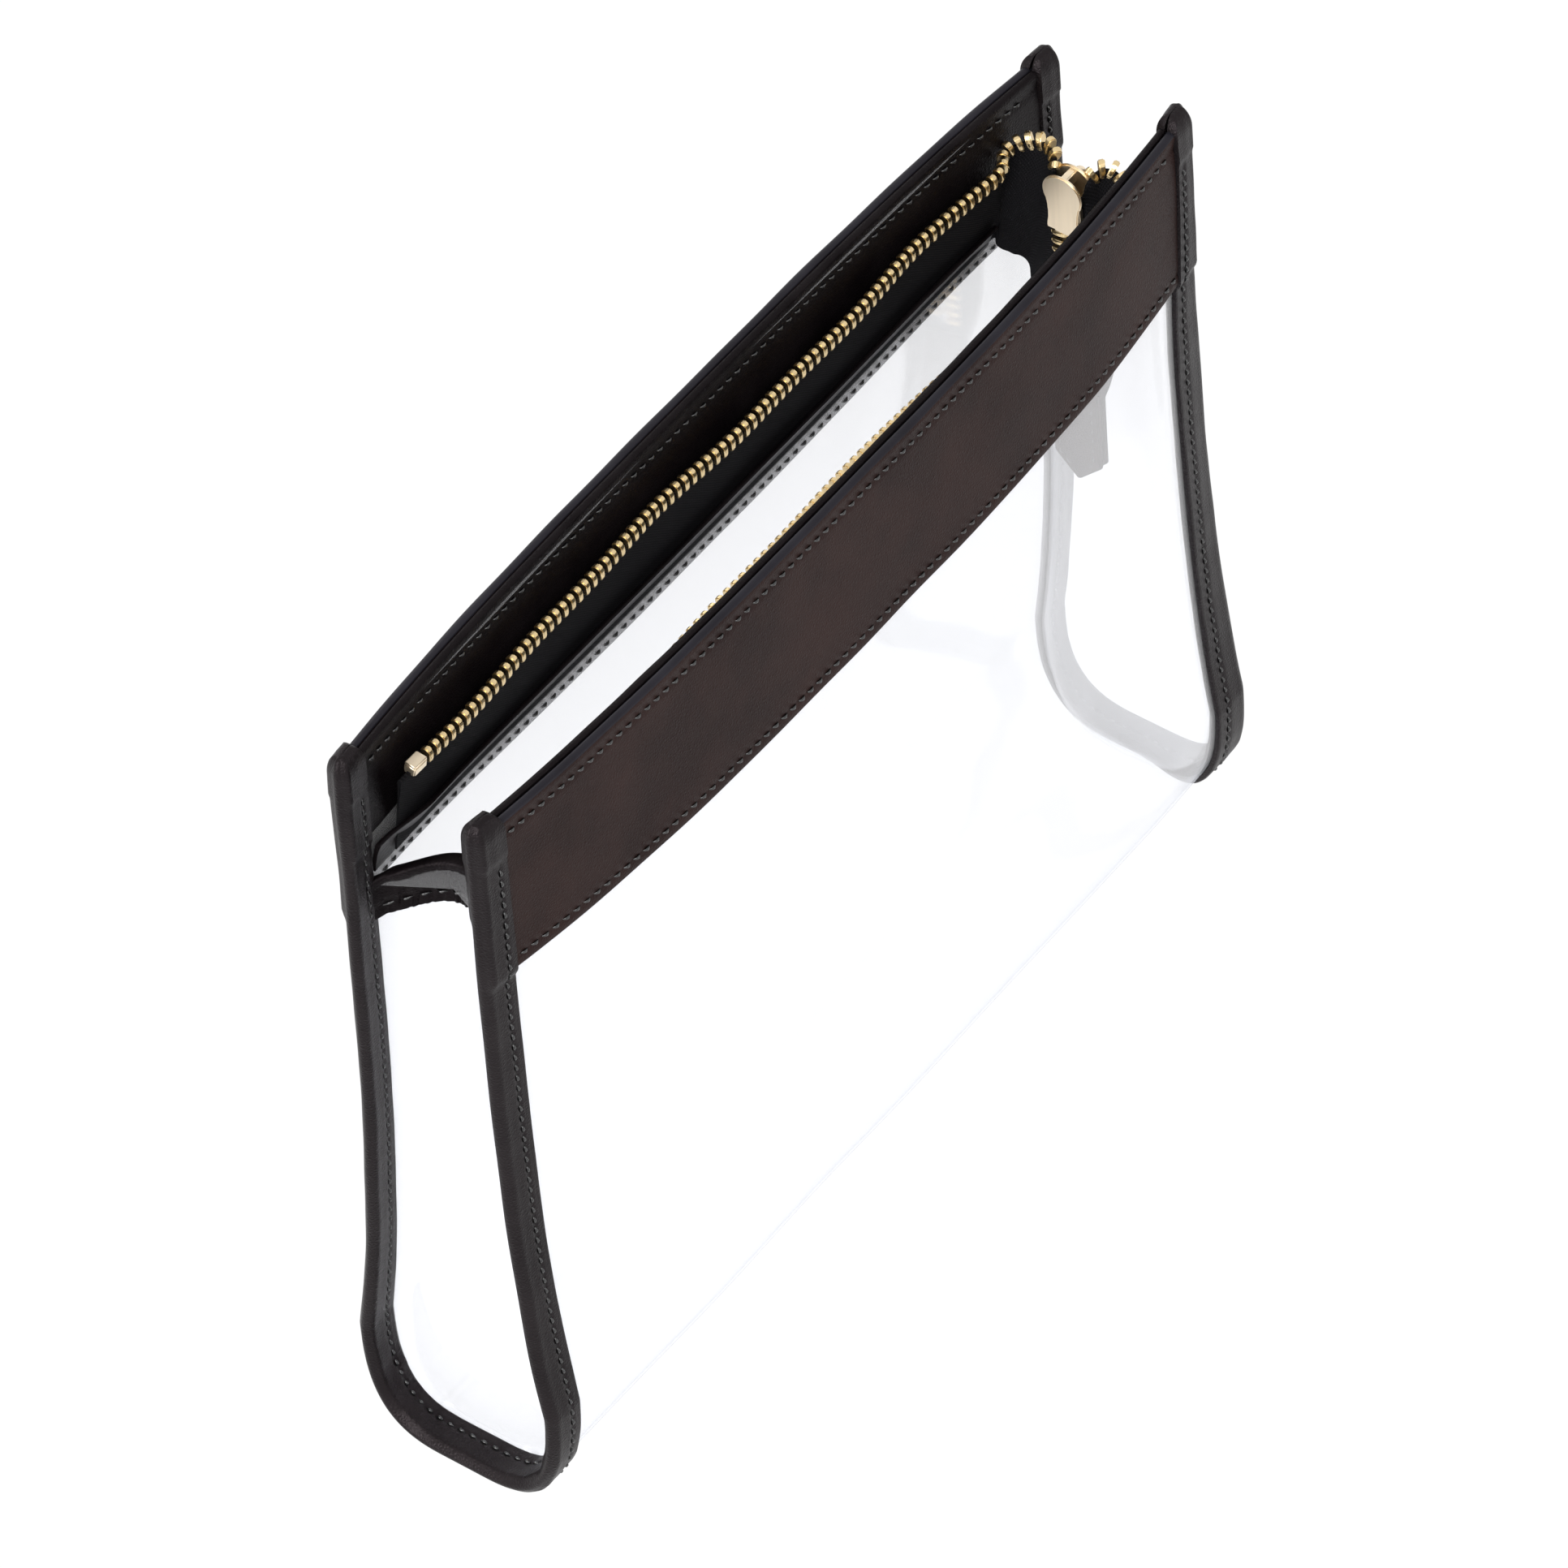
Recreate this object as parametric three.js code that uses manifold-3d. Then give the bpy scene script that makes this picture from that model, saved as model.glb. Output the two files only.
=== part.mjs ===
// A clear makeup bag: one vinyl sheet folded into front, base and back, two clear end gussets,
// leather bindings round both ends, leather bands along the mouth and a metal zip, hanging open.
// Millimetres. +X runs along the bag to the slider's end, +Y to the back and +Z up.
// The origin is at the middle of the base, at the height of the surface that the bag stands on.

import * as THREE from 'three';
import { mergeVertices } from 'three/addons/utils/BufferGeometryUtils.js';
import Module from 'manifold-3d';

const wasm = await Module();
wasm.setup();

// ---- driving dimensions ------------------------------------------------------------------

const LENGTH = 250;             // over both end bindings
const HEIGHT = 200;             // base of the bindings to the top edge of the bands
const MOUTH_DEPTH = 33;         // between the sheet's mid-planes at the top of an end
const BASE_DEPTH = 48;          // the same at the widest height
const CORNER_HEIGHT = 28;       // rounded base corner, vertically
const CORNER_REACH = 19.4;      // rounded base corner, along Y
const CORNER_ROUNDNESS = 2.8;   // superellipse power of that corner
const TAPER_POWER = 3.8;        // how soon the walls draw in above the corner
const BASE_SPREAD = 0.026;      // the base is longer than the mouth by this share
const MOUTH_BOW = 4.5;          // outward bow of each mouth edge at mid length
const FRONT_BELLY = 7;          // further outward swell of the front wall at mid height
const BACK_BELLY = -5;          // the back wall sinks in instead
const BACK_FADE = 3;            // and is flat again well before its ends
const BOW_POWER = 3;            // how flat the bow is along the bag

const SHEET = 0.7;              // clear vinyl
const LEATHER = 1.3;            // bands and bindings
const FACING = 1.0;             // thinner leather inside the mouth
const GAP = 0.3;                // between faces that lie on each other

const BINDING_WIDTH = 10;     // fold to cut edge
const BINDING_TIP = 3;          // rise of a binding's end above the mouth edge
const BAND_HEIGHT = 42;         // outer leather bands
const FACING_HEIGHT = 24;       // leather behind the zip tape
const COVER_TOP = 27;           // strip over the tape's foot, measured down from the mouth edge
const COVER_FOOT = 42;
const COVER_LIFT = 2.3;         // how far that strip's free edge stands off the wall
const GUSSET_DROP = 37;         // mouth edge down to the top edge of an end gusset's cap
const GUSSET_FOLD = 8;          // the left gusset folds this far inwards at its top
const GUSSET_PUSH = 5;          // the zip's tail presses the right one this far outwards
const CAP_HEIGHT = 11;           // leather cap along a gusset's top edge

const CHAIN_DROP = 13;          // mouth edge down to the tape's free edge
const TAPE_FOOT = 34;           // mouth edge down to the tape's sewn edge
const TAPE = 0.6;               // woven tape
const CHAIN_LEAN = 3.2;         // the free edge leans this much further inwards than the foot
const TOOTH_PITCH = 2.5;
const TOOTH_RISE = 2.2;         // bead above the tape's edge
const TOOTH_ROOT = 0.9;         // valley between two beads
const CHAIN_THICKNESS = 2.2;
const CHAIN_INSET = 23;         // bag's left end to the first bead
const TAPE_INSET = 15;          // bag's left end to the tape's end
const STOP = { length: 6, rise: 2.6, thickness: 3.6 };   // crimped on a row's far end

const TAIL_INSET = 19;          // bag's right end to the plane in which the closed tail hangs
const TAIL_HALF = 11;           // half width of the tail's tape
const CLOSED_HALF = 2.4;        // tape edge to the chain's centre line when closed
const TAIL_TAB = { drop: 73, length: 28, width: 12, point: 6, thickness: 1.1, grip: 6 };

const SLIDER = {
  drop: 11, length: 16,          // mouth edge down to its top, and its own height
  wide: 10.2, narrow: 8.6,      // along Y
  plate: 0.8, channel: 3.6,     // along X
  slot: 1.4,                    // between the flanges, for the tape
  flange: 8,                    // height of the flanges
  postHalf: 0.9, postDrop: 4,   // half width of the post, and the slider's top down to its foot
};
const BRIDGE = { drop: 2, length: 11, width: 1.6, rise: 3.1, bar: 0.9 };
const JOIN = 0.1;                // overlap where one solid is built from several
const PULL = { length: 23, width: 6, thickness: 1.2, window: 10, leg: 1.1, bar: 1.2 };

// ---- shape of the walls ------------------------------------------------------------------

const FLOOR = SHEET / 2 + GAP + LEATHER;      // height of the sheet's mid-plane over the ground
const RISE = HEIGHT - FLOOR;                  // mid-plane height of a wall
const WALL_STEPS = 12;
const CORNER_STEPS = 8;
const ALONG_STEPS = 16;

// Half depth of an end at a height above the sheet's flat base.
function endHalf(height) {
  const up = (height - CORNER_HEIGHT) / (RISE - CORNER_HEIGHT);
  const flare = Math.pow(Math.max(1 - up, 0), TAPER_POWER);
  return MOUTH_DEPTH / 2 + (BASE_DEPTH - MOUTH_DEPTH) / 2 * flare;
}

// The half section from the mouth edge down the wall, round the corner to the base's middle.
function makeSection() {
  const points = [];
  for (let i = 0; i < WALL_STEPS; i += 1) {
    const height = RISE + (CORNER_HEIGHT - RISE) * i / WALL_STEPS;
    points.push(new THREE.Vector2(endHalf(height), height));
  }
  const flat = BASE_DEPTH / 2 - CORNER_REACH;
  for (let i = 0; i <= CORNER_STEPS; i += 1) {
    const angle = Math.PI / 2 * i / CORNER_STEPS;
    const out = Math.pow(Math.cos(angle), 2 / CORNER_ROUNDNESS);
    const down = Math.pow(Math.sin(angle), 2 / CORNER_ROUNDNESS);
    points.push(new THREE.Vector2(flat + CORNER_REACH * out, CORNER_HEIGHT * (1 - down)));
  }
  points.push(new THREE.Vector2(0, 0));
  return points;
}

const SECTION = makeSection();
const REACH = [0];                            // distance of each section point from the mouth edge
for (let i = 1; i < SECTION.length; i += 1) {
  REACH.push(REACH[i - 1] + SECTION[i].distanceTo(SECTION[i - 1]));
}
const HALF_WALK = REACH[REACH.length - 1];    // mouth edge to the middle of the base
const WALK = 2 * HALF_WALK;
const NORMALS = SECTION.map((_, i) => outwardAt(i));

function legNormal(i) {
  const leg = SECTION[i + 1].clone().sub(SECTION[i]).normalize();
  return new THREE.Vector2(-leg.y, leg.x);
}

// Mitred normal, so that a layer at one distance keeps it along every leg of the section.
function outwardAt(i) {
  const last = SECTION.length - 2;
  const before = legNormal(Math.max(i - 1, 0));
  const after = legNormal(Math.min(i, last));
  const middle = before.clone().add(after).normalize();
  return middle.divideScalar(middle.dot(after));
}

// Point and outward normal of the half section at a distance down from the mouth edge.
function sectionAt(down) {
  let i = 1;
  while (i < REACH.length - 1 && REACH[i] < down) i += 1;
  const share = (down - REACH[i - 1]) / (REACH[i] - REACH[i - 1]);
  const point = SECTION[i - 1].clone().lerp(SECTION[i], share);
  const normal = NORMALS[i - 1].clone().lerp(NORMALS[i], THREE.MathUtils.clamp(share, 0, 1));
  return { y: point.x, z: point.y, normal };
}

// The places where the layers are creased, so that they all bend together.
const ALONG = Array.from({ length: ALONG_STEPS + 1 },
  (_, i) => LENGTH / 2 * Math.sin(Math.PI * (i / ALONG_STEPS - 0.5)));
const DOWN = [...REACH, ...REACH.slice(0, -1).reverse().map((reach) => WALK - reach)];

function rows(list, from, to) {
  const apart = 0.5;
  return [from, ...list.filter((value) => value > from + apart && value < to - apart), to];
}

// How much of the full swell a wall has at a place along the bag, straight between creases. The
// power is higher for a swell that dies out well before the wall's ends.
function swellShare(x, power) {
  let i = 1;
  while (i < ALONG_STEPS && ALONG[i] < x) i += 1;
  const full = (at) => Math.pow(1 - Math.pow(Math.abs(2 * at / LENGTH), BOW_POWER), power);
  const share = THREE.MathUtils.clamp((x - ALONG[i - 1]) / (ALONG[i] - ALONG[i - 1]), 0, 1);
  return THREE.MathUtils.lerp(full(ALONG[i - 1]), full(ALONG[i]), share);
}

// Outward swell of a wall at a place along the bag and a height above the flat base.
function swell(side, x, height) {
  const up = THREE.MathUtils.clamp(height / RISE, 0, 1);
  const bow = MOUTH_BOW * up * swellShare(x, 1);
  const full = Math.sin(Math.PI * up);
  return side > 0
    ? bow + BACK_BELLY * full * swellShare(x, BACK_FADE)
    : bow + FRONT_BELLY * full * swellShare(x, 1);
}

// How much longer the bag is at a height than at its mouth.
function spread(height) {
  return 1 + BASE_SPREAD * THREE.MathUtils.clamp(1 - height / RISE, 0, 1);
}

// A place on the bag: x along it, a distance outwards from the middle of the sheet, and the walk
// from the back mouth edge under the base to the front one.
function onSheet(x, outwards, walk) {
  const side = walk <= HALF_WALK ? 1 : -1;
  const down = side > 0 ? walk : WALK - walk;
  const at = sectionAt(down);
  const y = at.y + at.normal.x * outwards + swell(side, x, at.z);
  return new THREE.Vector3(x * spread(at.z), side * y, FLOOR + at.z + at.normal.y * outwards);
}

// The same on one wall only, by the distance down from its mouth edge.
function onWall(side, x, outwards, down) {
  return onSheet(x, outwards, side > 0 ? down : WALK - down);
}

// ---- making closed solids ----------------------------------------------------------------

function signedVolume(geometry) {
  const at = geometry.attributes.position;
  const index = geometry.index.array;
  const [a, b, c] = [new THREE.Vector3(), new THREE.Vector3(), new THREE.Vector3()];
  let volume = 0;
  for (let i = 0; i < index.length; i += 3) {
    a.fromBufferAttribute(at, index[i]);
    b.fromBufferAttribute(at, index[i + 1]);
    c.fromBufferAttribute(at, index[i + 2]);
    volume += a.dot(b.cross(c)) / 6;
  }
  return volume;
}

// Keeps positions only, joins equal vertices and turns every face outwards.
function closed(geometry) {
  geometry.deleteAttribute('normal');
  geometry.deleteAttribute('uv');
  geometry.clearGroups();
  const joined = mergeVertices(geometry, 1e-5);
  if (signedVolume(joined) < 0) {
    const index = joined.index.array;
    for (let i = 0; i < index.length; i += 3) {
      [index[i], index[i + 1]] = [index[i + 1], index[i]];
    }
  }
  return joined;
}

function bend(geometry, place) {
  const at = geometry.attributes.position;
  for (let i = 0; i < at.count; i += 1) {
    const to = place(at.getX(i), at.getY(i), at.getZ(i));
    at.setXYZ(i, to.x, to.y, to.z);
  }
  return closed(geometry);
}

// A box cut at the listed values of its three directions, bent into place.
function bentBox(first, second, third, place) {
  const lists = [first, second, third];
  const geometry = new THREE.BoxGeometry(1, 1, 1, ...lists.map((list) => list.length - 1));
  geometry.translate(0.5, 0.5, 0.5);
  const pick = (list, share) => list[Math.round(share * (list.length - 1))];
  return bend(geometry, (x, y, z) => place(pick(first, x), pick(second, y), pick(third, z)));
}

// An outline in two directions, drawn along a third that is cut at the listed values.
function bentPrism(outline, third, place) {
  const shape = new THREE.Shape(outline.map(([x, y]) => new THREE.Vector2(x, y)));
  const steps = third.length - 1;
  const prism = new THREE.ExtrudeGeometry(shape, { depth: 1, steps, bevelEnabled: false });
  return bend(prism, (x, y, z) => place(x, y, third[Math.round(z * steps)]));
}

function evenly(from, to, steps) {
  return Array.from({ length: steps + 1 }, (_, i) => mix(from, to, i / steps));
}

function about(middle, thickness) {
  return [middle - thickness / 2, middle + thickness / 2];
}

function box(low, high) {
  const size = high.map((value, axis) => value - low[axis]);
  const geometry = new THREE.BoxGeometry(...size);
  geometry.translate(...low.map((value, axis) => value + size[axis] / 2));
  return closed(geometry);
}

function toSolid(geometry) {
  return new wasm.Manifold(new wasm.Mesh({
    numProp: 3,
    vertProperties: new Float32Array(geometry.attributes.position.array),
    triVerts: new Uint32Array(geometry.index.array),
  }));
}

function toGeometry(solid) {
  const mesh = solid.getMesh();
  const geometry = new THREE.BufferGeometry();
  geometry.setAttribute('position', new THREE.BufferAttribute(mesh.vertProperties, 3));
  geometry.setIndex(new THREE.BufferAttribute(mesh.triVerts, 1));
  return geometry;
}

function joinSolids(geometries) {
  return toGeometry(geometries.map(toSolid).reduce((all, next) => all.add(next)));
}

const mix = THREE.MathUtils.lerp;

// ---- materials ---------------------------------------------------------------------------

const VINYL = new THREE.MeshStandardMaterial({
  color: 0xeef2f4, roughness: 0.08, metalness: 0, transparent: true, opacity: 0.25,
});
const BROWN_LEATHER = new THREE.MeshStandardMaterial({ color: 0x2e2725, roughness: 0.5, metalness: 0 });
const BLACK_LEATHER = new THREE.MeshStandardMaterial({ color: 0x1a1819, roughness: 0.45, metalness: 0 });
const WOVEN = new THREE.MeshStandardMaterial({ color: 0x0b0b0d, roughness: 0.9, metalness: 0 });
const BRASS = new THREE.MeshStandardMaterial({ color: 0xb79a5e, roughness: 0.35, metalness: 1 });

// ---- sheet, gussets and bindings ---------------------------------------------------------

const SHEET_END = LENGTH / 2 - LEATHER - GAP;           // the sheet stops inside the fold
const BINDING_INNER = LENGTH / 2 - BINDING_WIDTH;       // cut edge of a binding
const UNDER = SHEET / 2 + GAP;                          // first free distance off the sheet
const GUSSET_PLANE = BINDING_INNER - GAP - SHEET / 2 - GAP;
const ACROSS = [-1, -0.9, -0.6, -0.3, 0, 0.3, 0.6, 0.9, 1];   // creases of a gusset
const TAIL_X = LENGTH / 2 - TAIL_INSET;
const TURN_START = TAIL_X - 6;                          // where the tape leaves the wall
const COVER_END = TURN_START - 2;

function bodySheet() {
  return bentBox(rows(ALONG, -SHEET_END, SHEET_END), about(0, SHEET), DOWN, onSheet);
}

// A strip folded over the sheet's end: two leaves joined by the fold.
function binding(end) {
  const outer = UNDER + LEATHER;
  const fold = LENGTH / 2;
  const round = LEATHER / 2;
  const outline = [
    [BINDING_INNER, UNDER], [SHEET_END + GAP, UNDER], [SHEET_END + GAP, -UNDER],
    [BINDING_INNER, -UNDER], [BINDING_INNER, -outer], [fold - round, -outer],
    [fold, -outer + round], [fold, outer - round], [fold - round, outer], [BINDING_INNER, outer],
  ];
  const walks = rows(DOWN, -BINDING_TIP, WALK + BINDING_TIP);
  return bentPrism(outline, walks, (x, out, walk) => onSheet(end * x, out, walk));
}

// How far an end gusset stands out of its plane, by its share of the half width and its height.
function gussetBow(end, share, height) {
  const start = UNDER + LEATHER + GAP;                  // clear of the binding's inner leaf
  const up = THREE.MathUtils.clamp((height - start) / (RISE - start), 0, 1);
  const across = Math.pow(1 - share * share, 2);
  if (end < 0) return -GUSSET_FOLD * across * Math.pow(up, 1.2);
  return GUSSET_PUSH * across * Math.sin(Math.PI * Math.pow(up, 0.6) * 0.9);
}

function onGusset(end, out, share, down) {
  const at = sectionAt(down);
  const half = at.y + at.normal.x * -UNDER;
  const height = at.z + at.normal.y * -UNDER;
  const x = GUSSET_PLANE + gussetBow(end, share, height) + out;
  return new THREE.Vector3(end * x * spread(height), share * half, FLOOR + height);
}

function gusset(end) {
  const first = GUSSET_DROP + LEATHER + GAP;
  const last = HALF_WALK - (BASE_DEPTH / 2 - CORNER_REACH);
  return bentBox(ACROSS, about(0, SHEET), rows(REACH, first, last),
    (share, out, down) => onGusset(end, out, share, down));
}

// How much of a gusset's width its cap covers, clear of the bindings' inner leaves.
function capShare(down) {
  const half = sectionAt(down).y - UNDER;
  return (half - LEATHER - GAP) / half;
}

// A strip folded over a gusset's top edge.
function gussetCap(end) {
  const outer = UNDER + FACING;
  const round = FACING / 2;
  const outline = [
    [UNDER, CAP_HEIGHT], [UNDER, LEATHER], [-UNDER, LEATHER], [-UNDER, CAP_HEIGHT],
    [-outer, CAP_HEIGHT], [-outer, round], [-outer + round, 0],
    [outer - round, 0], [outer, round], [outer, CAP_HEIGHT],
  ];
  return bentPrism(outline, ACROSS,
    (out, down, share) => onGusset(end, out, share * capShare(GUSSET_DROP + down), GUSSET_DROP + down));
}

// ---- bands round the mouth ---------------------------------------------------------------

const BAND_END = BINDING_INNER - GAP;
const FACING_END = GUSSET_PLANE - UNDER - FACING - GAP;
const FACING_OUT = -UNDER - FACING;                     // inner face of the facing
const TAPE_OUT = FACING_OUT - GAP - TAPE / 2;           // middle of the tape at its foot

function outerBand(side) {
  return bentBox(rows(ALONG, -BAND_END, BAND_END), [UNDER, UNDER + LEATHER],
    rows(REACH, 0, BAND_HEIGHT), (x, out, down) => onWall(side, x, out, down));
}

function innerFacing(side) {
  return bentBox(rows(ALONG, -FACING_END, FACING_END), [FACING_OUT, -UNDER],
    rows(REACH, 0, FACING_HEIGHT), (x, out, down) => onWall(side, x, out, down));
}

// A strip sewn over the tape's foot, its free upper edge standing off the wall.
function tapeCover(side) {
  return bentBox(rows(ALONG, -FACING_END, COVER_END), [0, -FACING], rows(REACH, COVER_TOP, COVER_FOOT),
    (x, out, down) => {
      const share = (down - COVER_TOP) / (COVER_FOOT - COVER_TOP);
      return onWall(side, x, out + mix(TAPE_OUT - COVER_LIFT, -UNDER - GAP, share), down);
    });
}

// ---- zip ---------------------------------------------------------------------------------

const SLIDER_TOP = HEIGHT - SLIDER.drop;
const SLIDER_FOOT = SLIDER_TOP - SLIDER.length;
const FLANGE_TOP = SLIDER_FOOT + SLIDER.flange;
const POST_FOOT = SLIDER_TOP - SLIDER.postDrop;
const TAIL_TAB_TOP = HEIGHT - TAIL_TAB.drop;
const TAIL_FOOT_Z = TAIL_TAB_TOP - TAIL_TAB.grip;       // lower end of the tail's tape

const RAIL_SAMPLES = 900;

function mirrored(side, point) {
  return new THREE.Vector3(point.x, side * point.y, point.z);
}

// Matching points on the tape's free edge and its sewn edge: along the wall, round the turn at
// the slider's end and down the closed tail. The front's points are kept mirrored to the back.
function zipRails(side) {
  const free = [];
  const sewn = [];
  for (const x of rows(ALONG, TAPE_INSET - LENGTH / 2, TURN_START)) {
    free.push(mirrored(side, onWall(side, x, TAPE_OUT - CHAIN_LEAN, CHAIN_DROP)));
    sewn.push(mirrored(side, onWall(side, x, TAPE_OUT, TAPE_FOOT)));
  }
  const at = (list, dx, y, z) => list.push(new THREE.Vector3(TAIL_X + dx, y, z));
  const foot = HEIGHT - TAPE_FOOT;
  const start = free[free.length - 1].y;
  at(free, 0.5, start - 1.1, SLIDER_TOP - 1.5);
  at(sewn, -3, TAIL_HALF + 1.6, foot - 1);
  at(free, 3, mix(start, CLOSED_HALF, 0.4), SLIDER_TOP + 0.5);
  at(sewn, -0.8, TAIL_HALF + 1, foot - 4);
  at(free, 1.6, 6.2, SLIDER_TOP - 0.5);
  at(sewn, 0, TAIL_HALF + 0.6, foot - 7);
  at(free, 0, SLIDER.postHalf + TOOTH_RISE + 0.9, POST_FOOT + 0.5);
  at(sewn, 0, TAIL_HALF + 0.3, foot - 10);
  at(free, 0, CLOSED_HALF + 0.3, FLANGE_TOP + 0.5);
  at(sewn, 0, TAIL_HALF + 0.1, foot - 13);
  const level = SLIDER_FOOT - 4;
  for (const share of [0, 0.33, 0.66, 1]) {
    const narrow = share * share * (TAIL_HALF - TAIL_TAB.width / 2 + 1);
    at(free, 0, CLOSED_HALF, mix(level, TAIL_FOOT_Z, share));
    at(sewn, 0, TAIL_HALF - narrow, mix(level - 20, TAIL_FOOT_Z, share));
  }
  const edge = new THREE.CatmullRomCurve3(free, false, 'centripetal');
  return {
    free: edge,
    sewn: new THREE.CatmullRomCurve3(sewn, false, 'centripetal'),
    lengths: sampleLengths(edge),
  };
}

// Length along a curve at even steps of its own parameter.
function sampleLengths(curve) {
  const lengths = [0];
  let last = curve.getPoint(0);
  for (let i = 1; i <= RAIL_SAMPLES; i += 1) {
    const next = curve.getPoint(i / RAIL_SAMPLES);
    lengths.push(lengths[i - 1] + next.distanceTo(last));
    last = next;
  }
  return lengths;
}

const BACK_RAILS = zipRails(1);
const FRONT_RAILS = zipRails(-1);

function railsOf(side) {
  return side > 0 ? BACK_RAILS : FRONT_RAILS;
}

function parameterAt(lengths, length) {
  let i = 1;
  while (i < RAIL_SAMPLES && lengths[i] < length) i += 1;
  const share = (length - lengths[i - 1]) / (lengths[i] - lengths[i - 1]);
  return THREE.MathUtils.clamp((i - 1 + share) / RAIL_SAMPLES, 0, 1);
}

// The free edge's frame: its point, the way the beads point and the tape's normal.
function railFrame(rails, t) {
  const point = rails.free.getPoint(t);
  const along = rails.free.getTangent(THREE.MathUtils.clamp(t, 0.001, 0.999)).normalize();
  const ruling = point.clone().sub(rails.sewn.getPoint(t));
  const normal = along.clone().cross(ruling).normalize();
  const beads = normal.clone().cross(along).normalize();
  return { point, normal, beads };
}

function zipperTape(side) {
  const rails = railsOf(side);
  return bentBox(evenly(0, 1, 72), about(0, TAPE), evenly(0, 1, 4), (t, out, down) => {
    const frame = railFrame(rails, t);
    const start = frame.point.clone().addScaledVector(frame.beads, -TOOTH_ROOT);
    const place = start.lerp(rails.sewn.getPoint(t), down);
    return mirrored(side, place.addScaledVector(frame.normal, out));
  });
}

// A place beside the tape's free edge, by the length along it.
function onChain(side, length, out, up) {
  const rails = railsOf(side);
  const frame = railFrame(rails, parameterAt(rails.lengths, length));
  frame.point.addScaledVector(frame.beads, up).addScaledVector(frame.normal, out);
  return mirrored(side, frame.point);
}

// One row of beads on the cord at the tape's edge.
function zipperChain(side) {
  const first = CHAIN_INSET - TAPE_INSET;
  const last = railsOf(side).lengths[RAIL_SAMPLES] - TAIL_TAB.grip - GAP;
  const beads = Math.floor((last - first) / TOOTH_PITCH);
  return bentBox(evenly(0, 2 * beads, 2 * beads), about(0, CHAIN_THICKNESS), [GAP - TOOTH_ROOT, 1],
    (step, out, up) => {
      const top = step % 2 ? TOOTH_RISE : TOOTH_ROOT;
      return onChain(side, first + step * TOOTH_PITCH / 2, out, up > 0 ? top : up);
    });
}

// The metal stop crimped on a row's far end.
function zipperStop(side) {
  const last = CHAIN_INSET - TAPE_INSET - GAP;
  return bentBox([last - STOP.length, last], about(0, STOP.thickness), [GAP - TOOTH_ROOT, STOP.rise],
    (length, out, up) => onChain(side, length, out, up));
}

// ---- slider and pull ---------------------------------------------------------------------

// A shield: round at the wide end, drawn in to straight sides below.
function sliderOutline() {
  const wide = SLIDER.wide / 2;
  const narrow = SLIDER.narrow / 2;
  const middle = SLIDER_TOP - wide;
  const shape = new THREE.Shape();
  shape.moveTo(-narrow, SLIDER_FOOT);
  shape.lineTo(narrow, SLIDER_FOOT);
  shape.lineTo(narrow, FLANGE_TOP - 2);
  shape.quadraticCurveTo(wide, FLANGE_TOP, wide, middle);
  shape.absarc(0, middle, wide, 0, Math.PI, false);
  shape.quadraticCurveTo(-wide, FLANGE_TOP, -narrow, FLANGE_TOP - 2);
  return shape;
}

// A plate standing in the YZ plane between two distances from the tail's plane.
function standing(shape, low, high) {
  const plate = new THREE.ExtrudeGeometry(shape, {
    depth: high - low, bevelEnabled: false, curveSegments: 10,
  });
  const at = plate.attributes.position;
  for (let i = 0; i < at.count; i += 1) {
    at.setXYZ(i, TAIL_X + low + at.getZ(i), at.getX(i), at.getY(i));
  }
  return closed(plate);
}

function slider() {
  const inner = SLIDER.channel / 2;
  const outer = inner + SLIDER.plate;
  const narrow = SLIDER.narrow / 2;
  const flangeInner = CLOSED_HALF + TOOTH_ROOT;
  const parts = [
    standing(sliderOutline(), -outer, -inner),
    standing(sliderOutline(), inner, outer),
    box([TAIL_X - outer + JOIN, -SLIDER.postHalf, POST_FOOT],
      [TAIL_X + outer - JOIN, SLIDER.postHalf, SLIDER_TOP - 1]),
  ];
  for (const side of [-1, 1]) {
    for (const face of [-1, 1]) {
      const ys = [side * flangeInner, side * narrow].sort((a, b) => a - b);
      const xs = [face * SLIDER.slot / 2, face * (outer - JOIN)].sort((a, b) => a - b);
      parts.push(box([TAIL_X + xs[0], ys[0], SLIDER_FOOT],
        [TAIL_X + xs[1], ys[1], FLANGE_TOP]));
    }
  }
  parts.push(...bridge(outer));
  return joinSolids(parts);
}

const BRIDGE_TOP = SLIDER_TOP - BRIDGE.drop;
const BRIDGE_FOOT = BRIDGE_TOP - BRIDGE.length;

// The arch that the pull's bar passes under, on the plate that faces the gusset.
function bridge(face) {
  const half = BRIDGE.width / 2;
  const foot = TAIL_X + face - JOIN;
  const crest = TAIL_X + face + BRIDGE.rise;
  return [
    box([foot, -half, BRIDGE_FOOT], [crest, half, BRIDGE_FOOT + BRIDGE.bar]),
    box([foot, -half, BRIDGE_TOP - BRIDGE.bar], [crest, half, BRIDGE_TOP]),
    box([crest - BRIDGE.bar, -half, BRIDGE_FOOT], [crest, half, BRIDGE_TOP]),
  ];
}

const PULL_X = TAIL_X + SLIDER.channel / 2 + SLIDER.plate
  + (BRIDGE.rise - BRIDGE.bar) / 2;                     // pivot, midway under the arch
const PULL_Z = BRIDGE_TOP - BRIDGE.bar - GAP - PULL.bar / 2;
const BAR_SIDES = 24;

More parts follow.
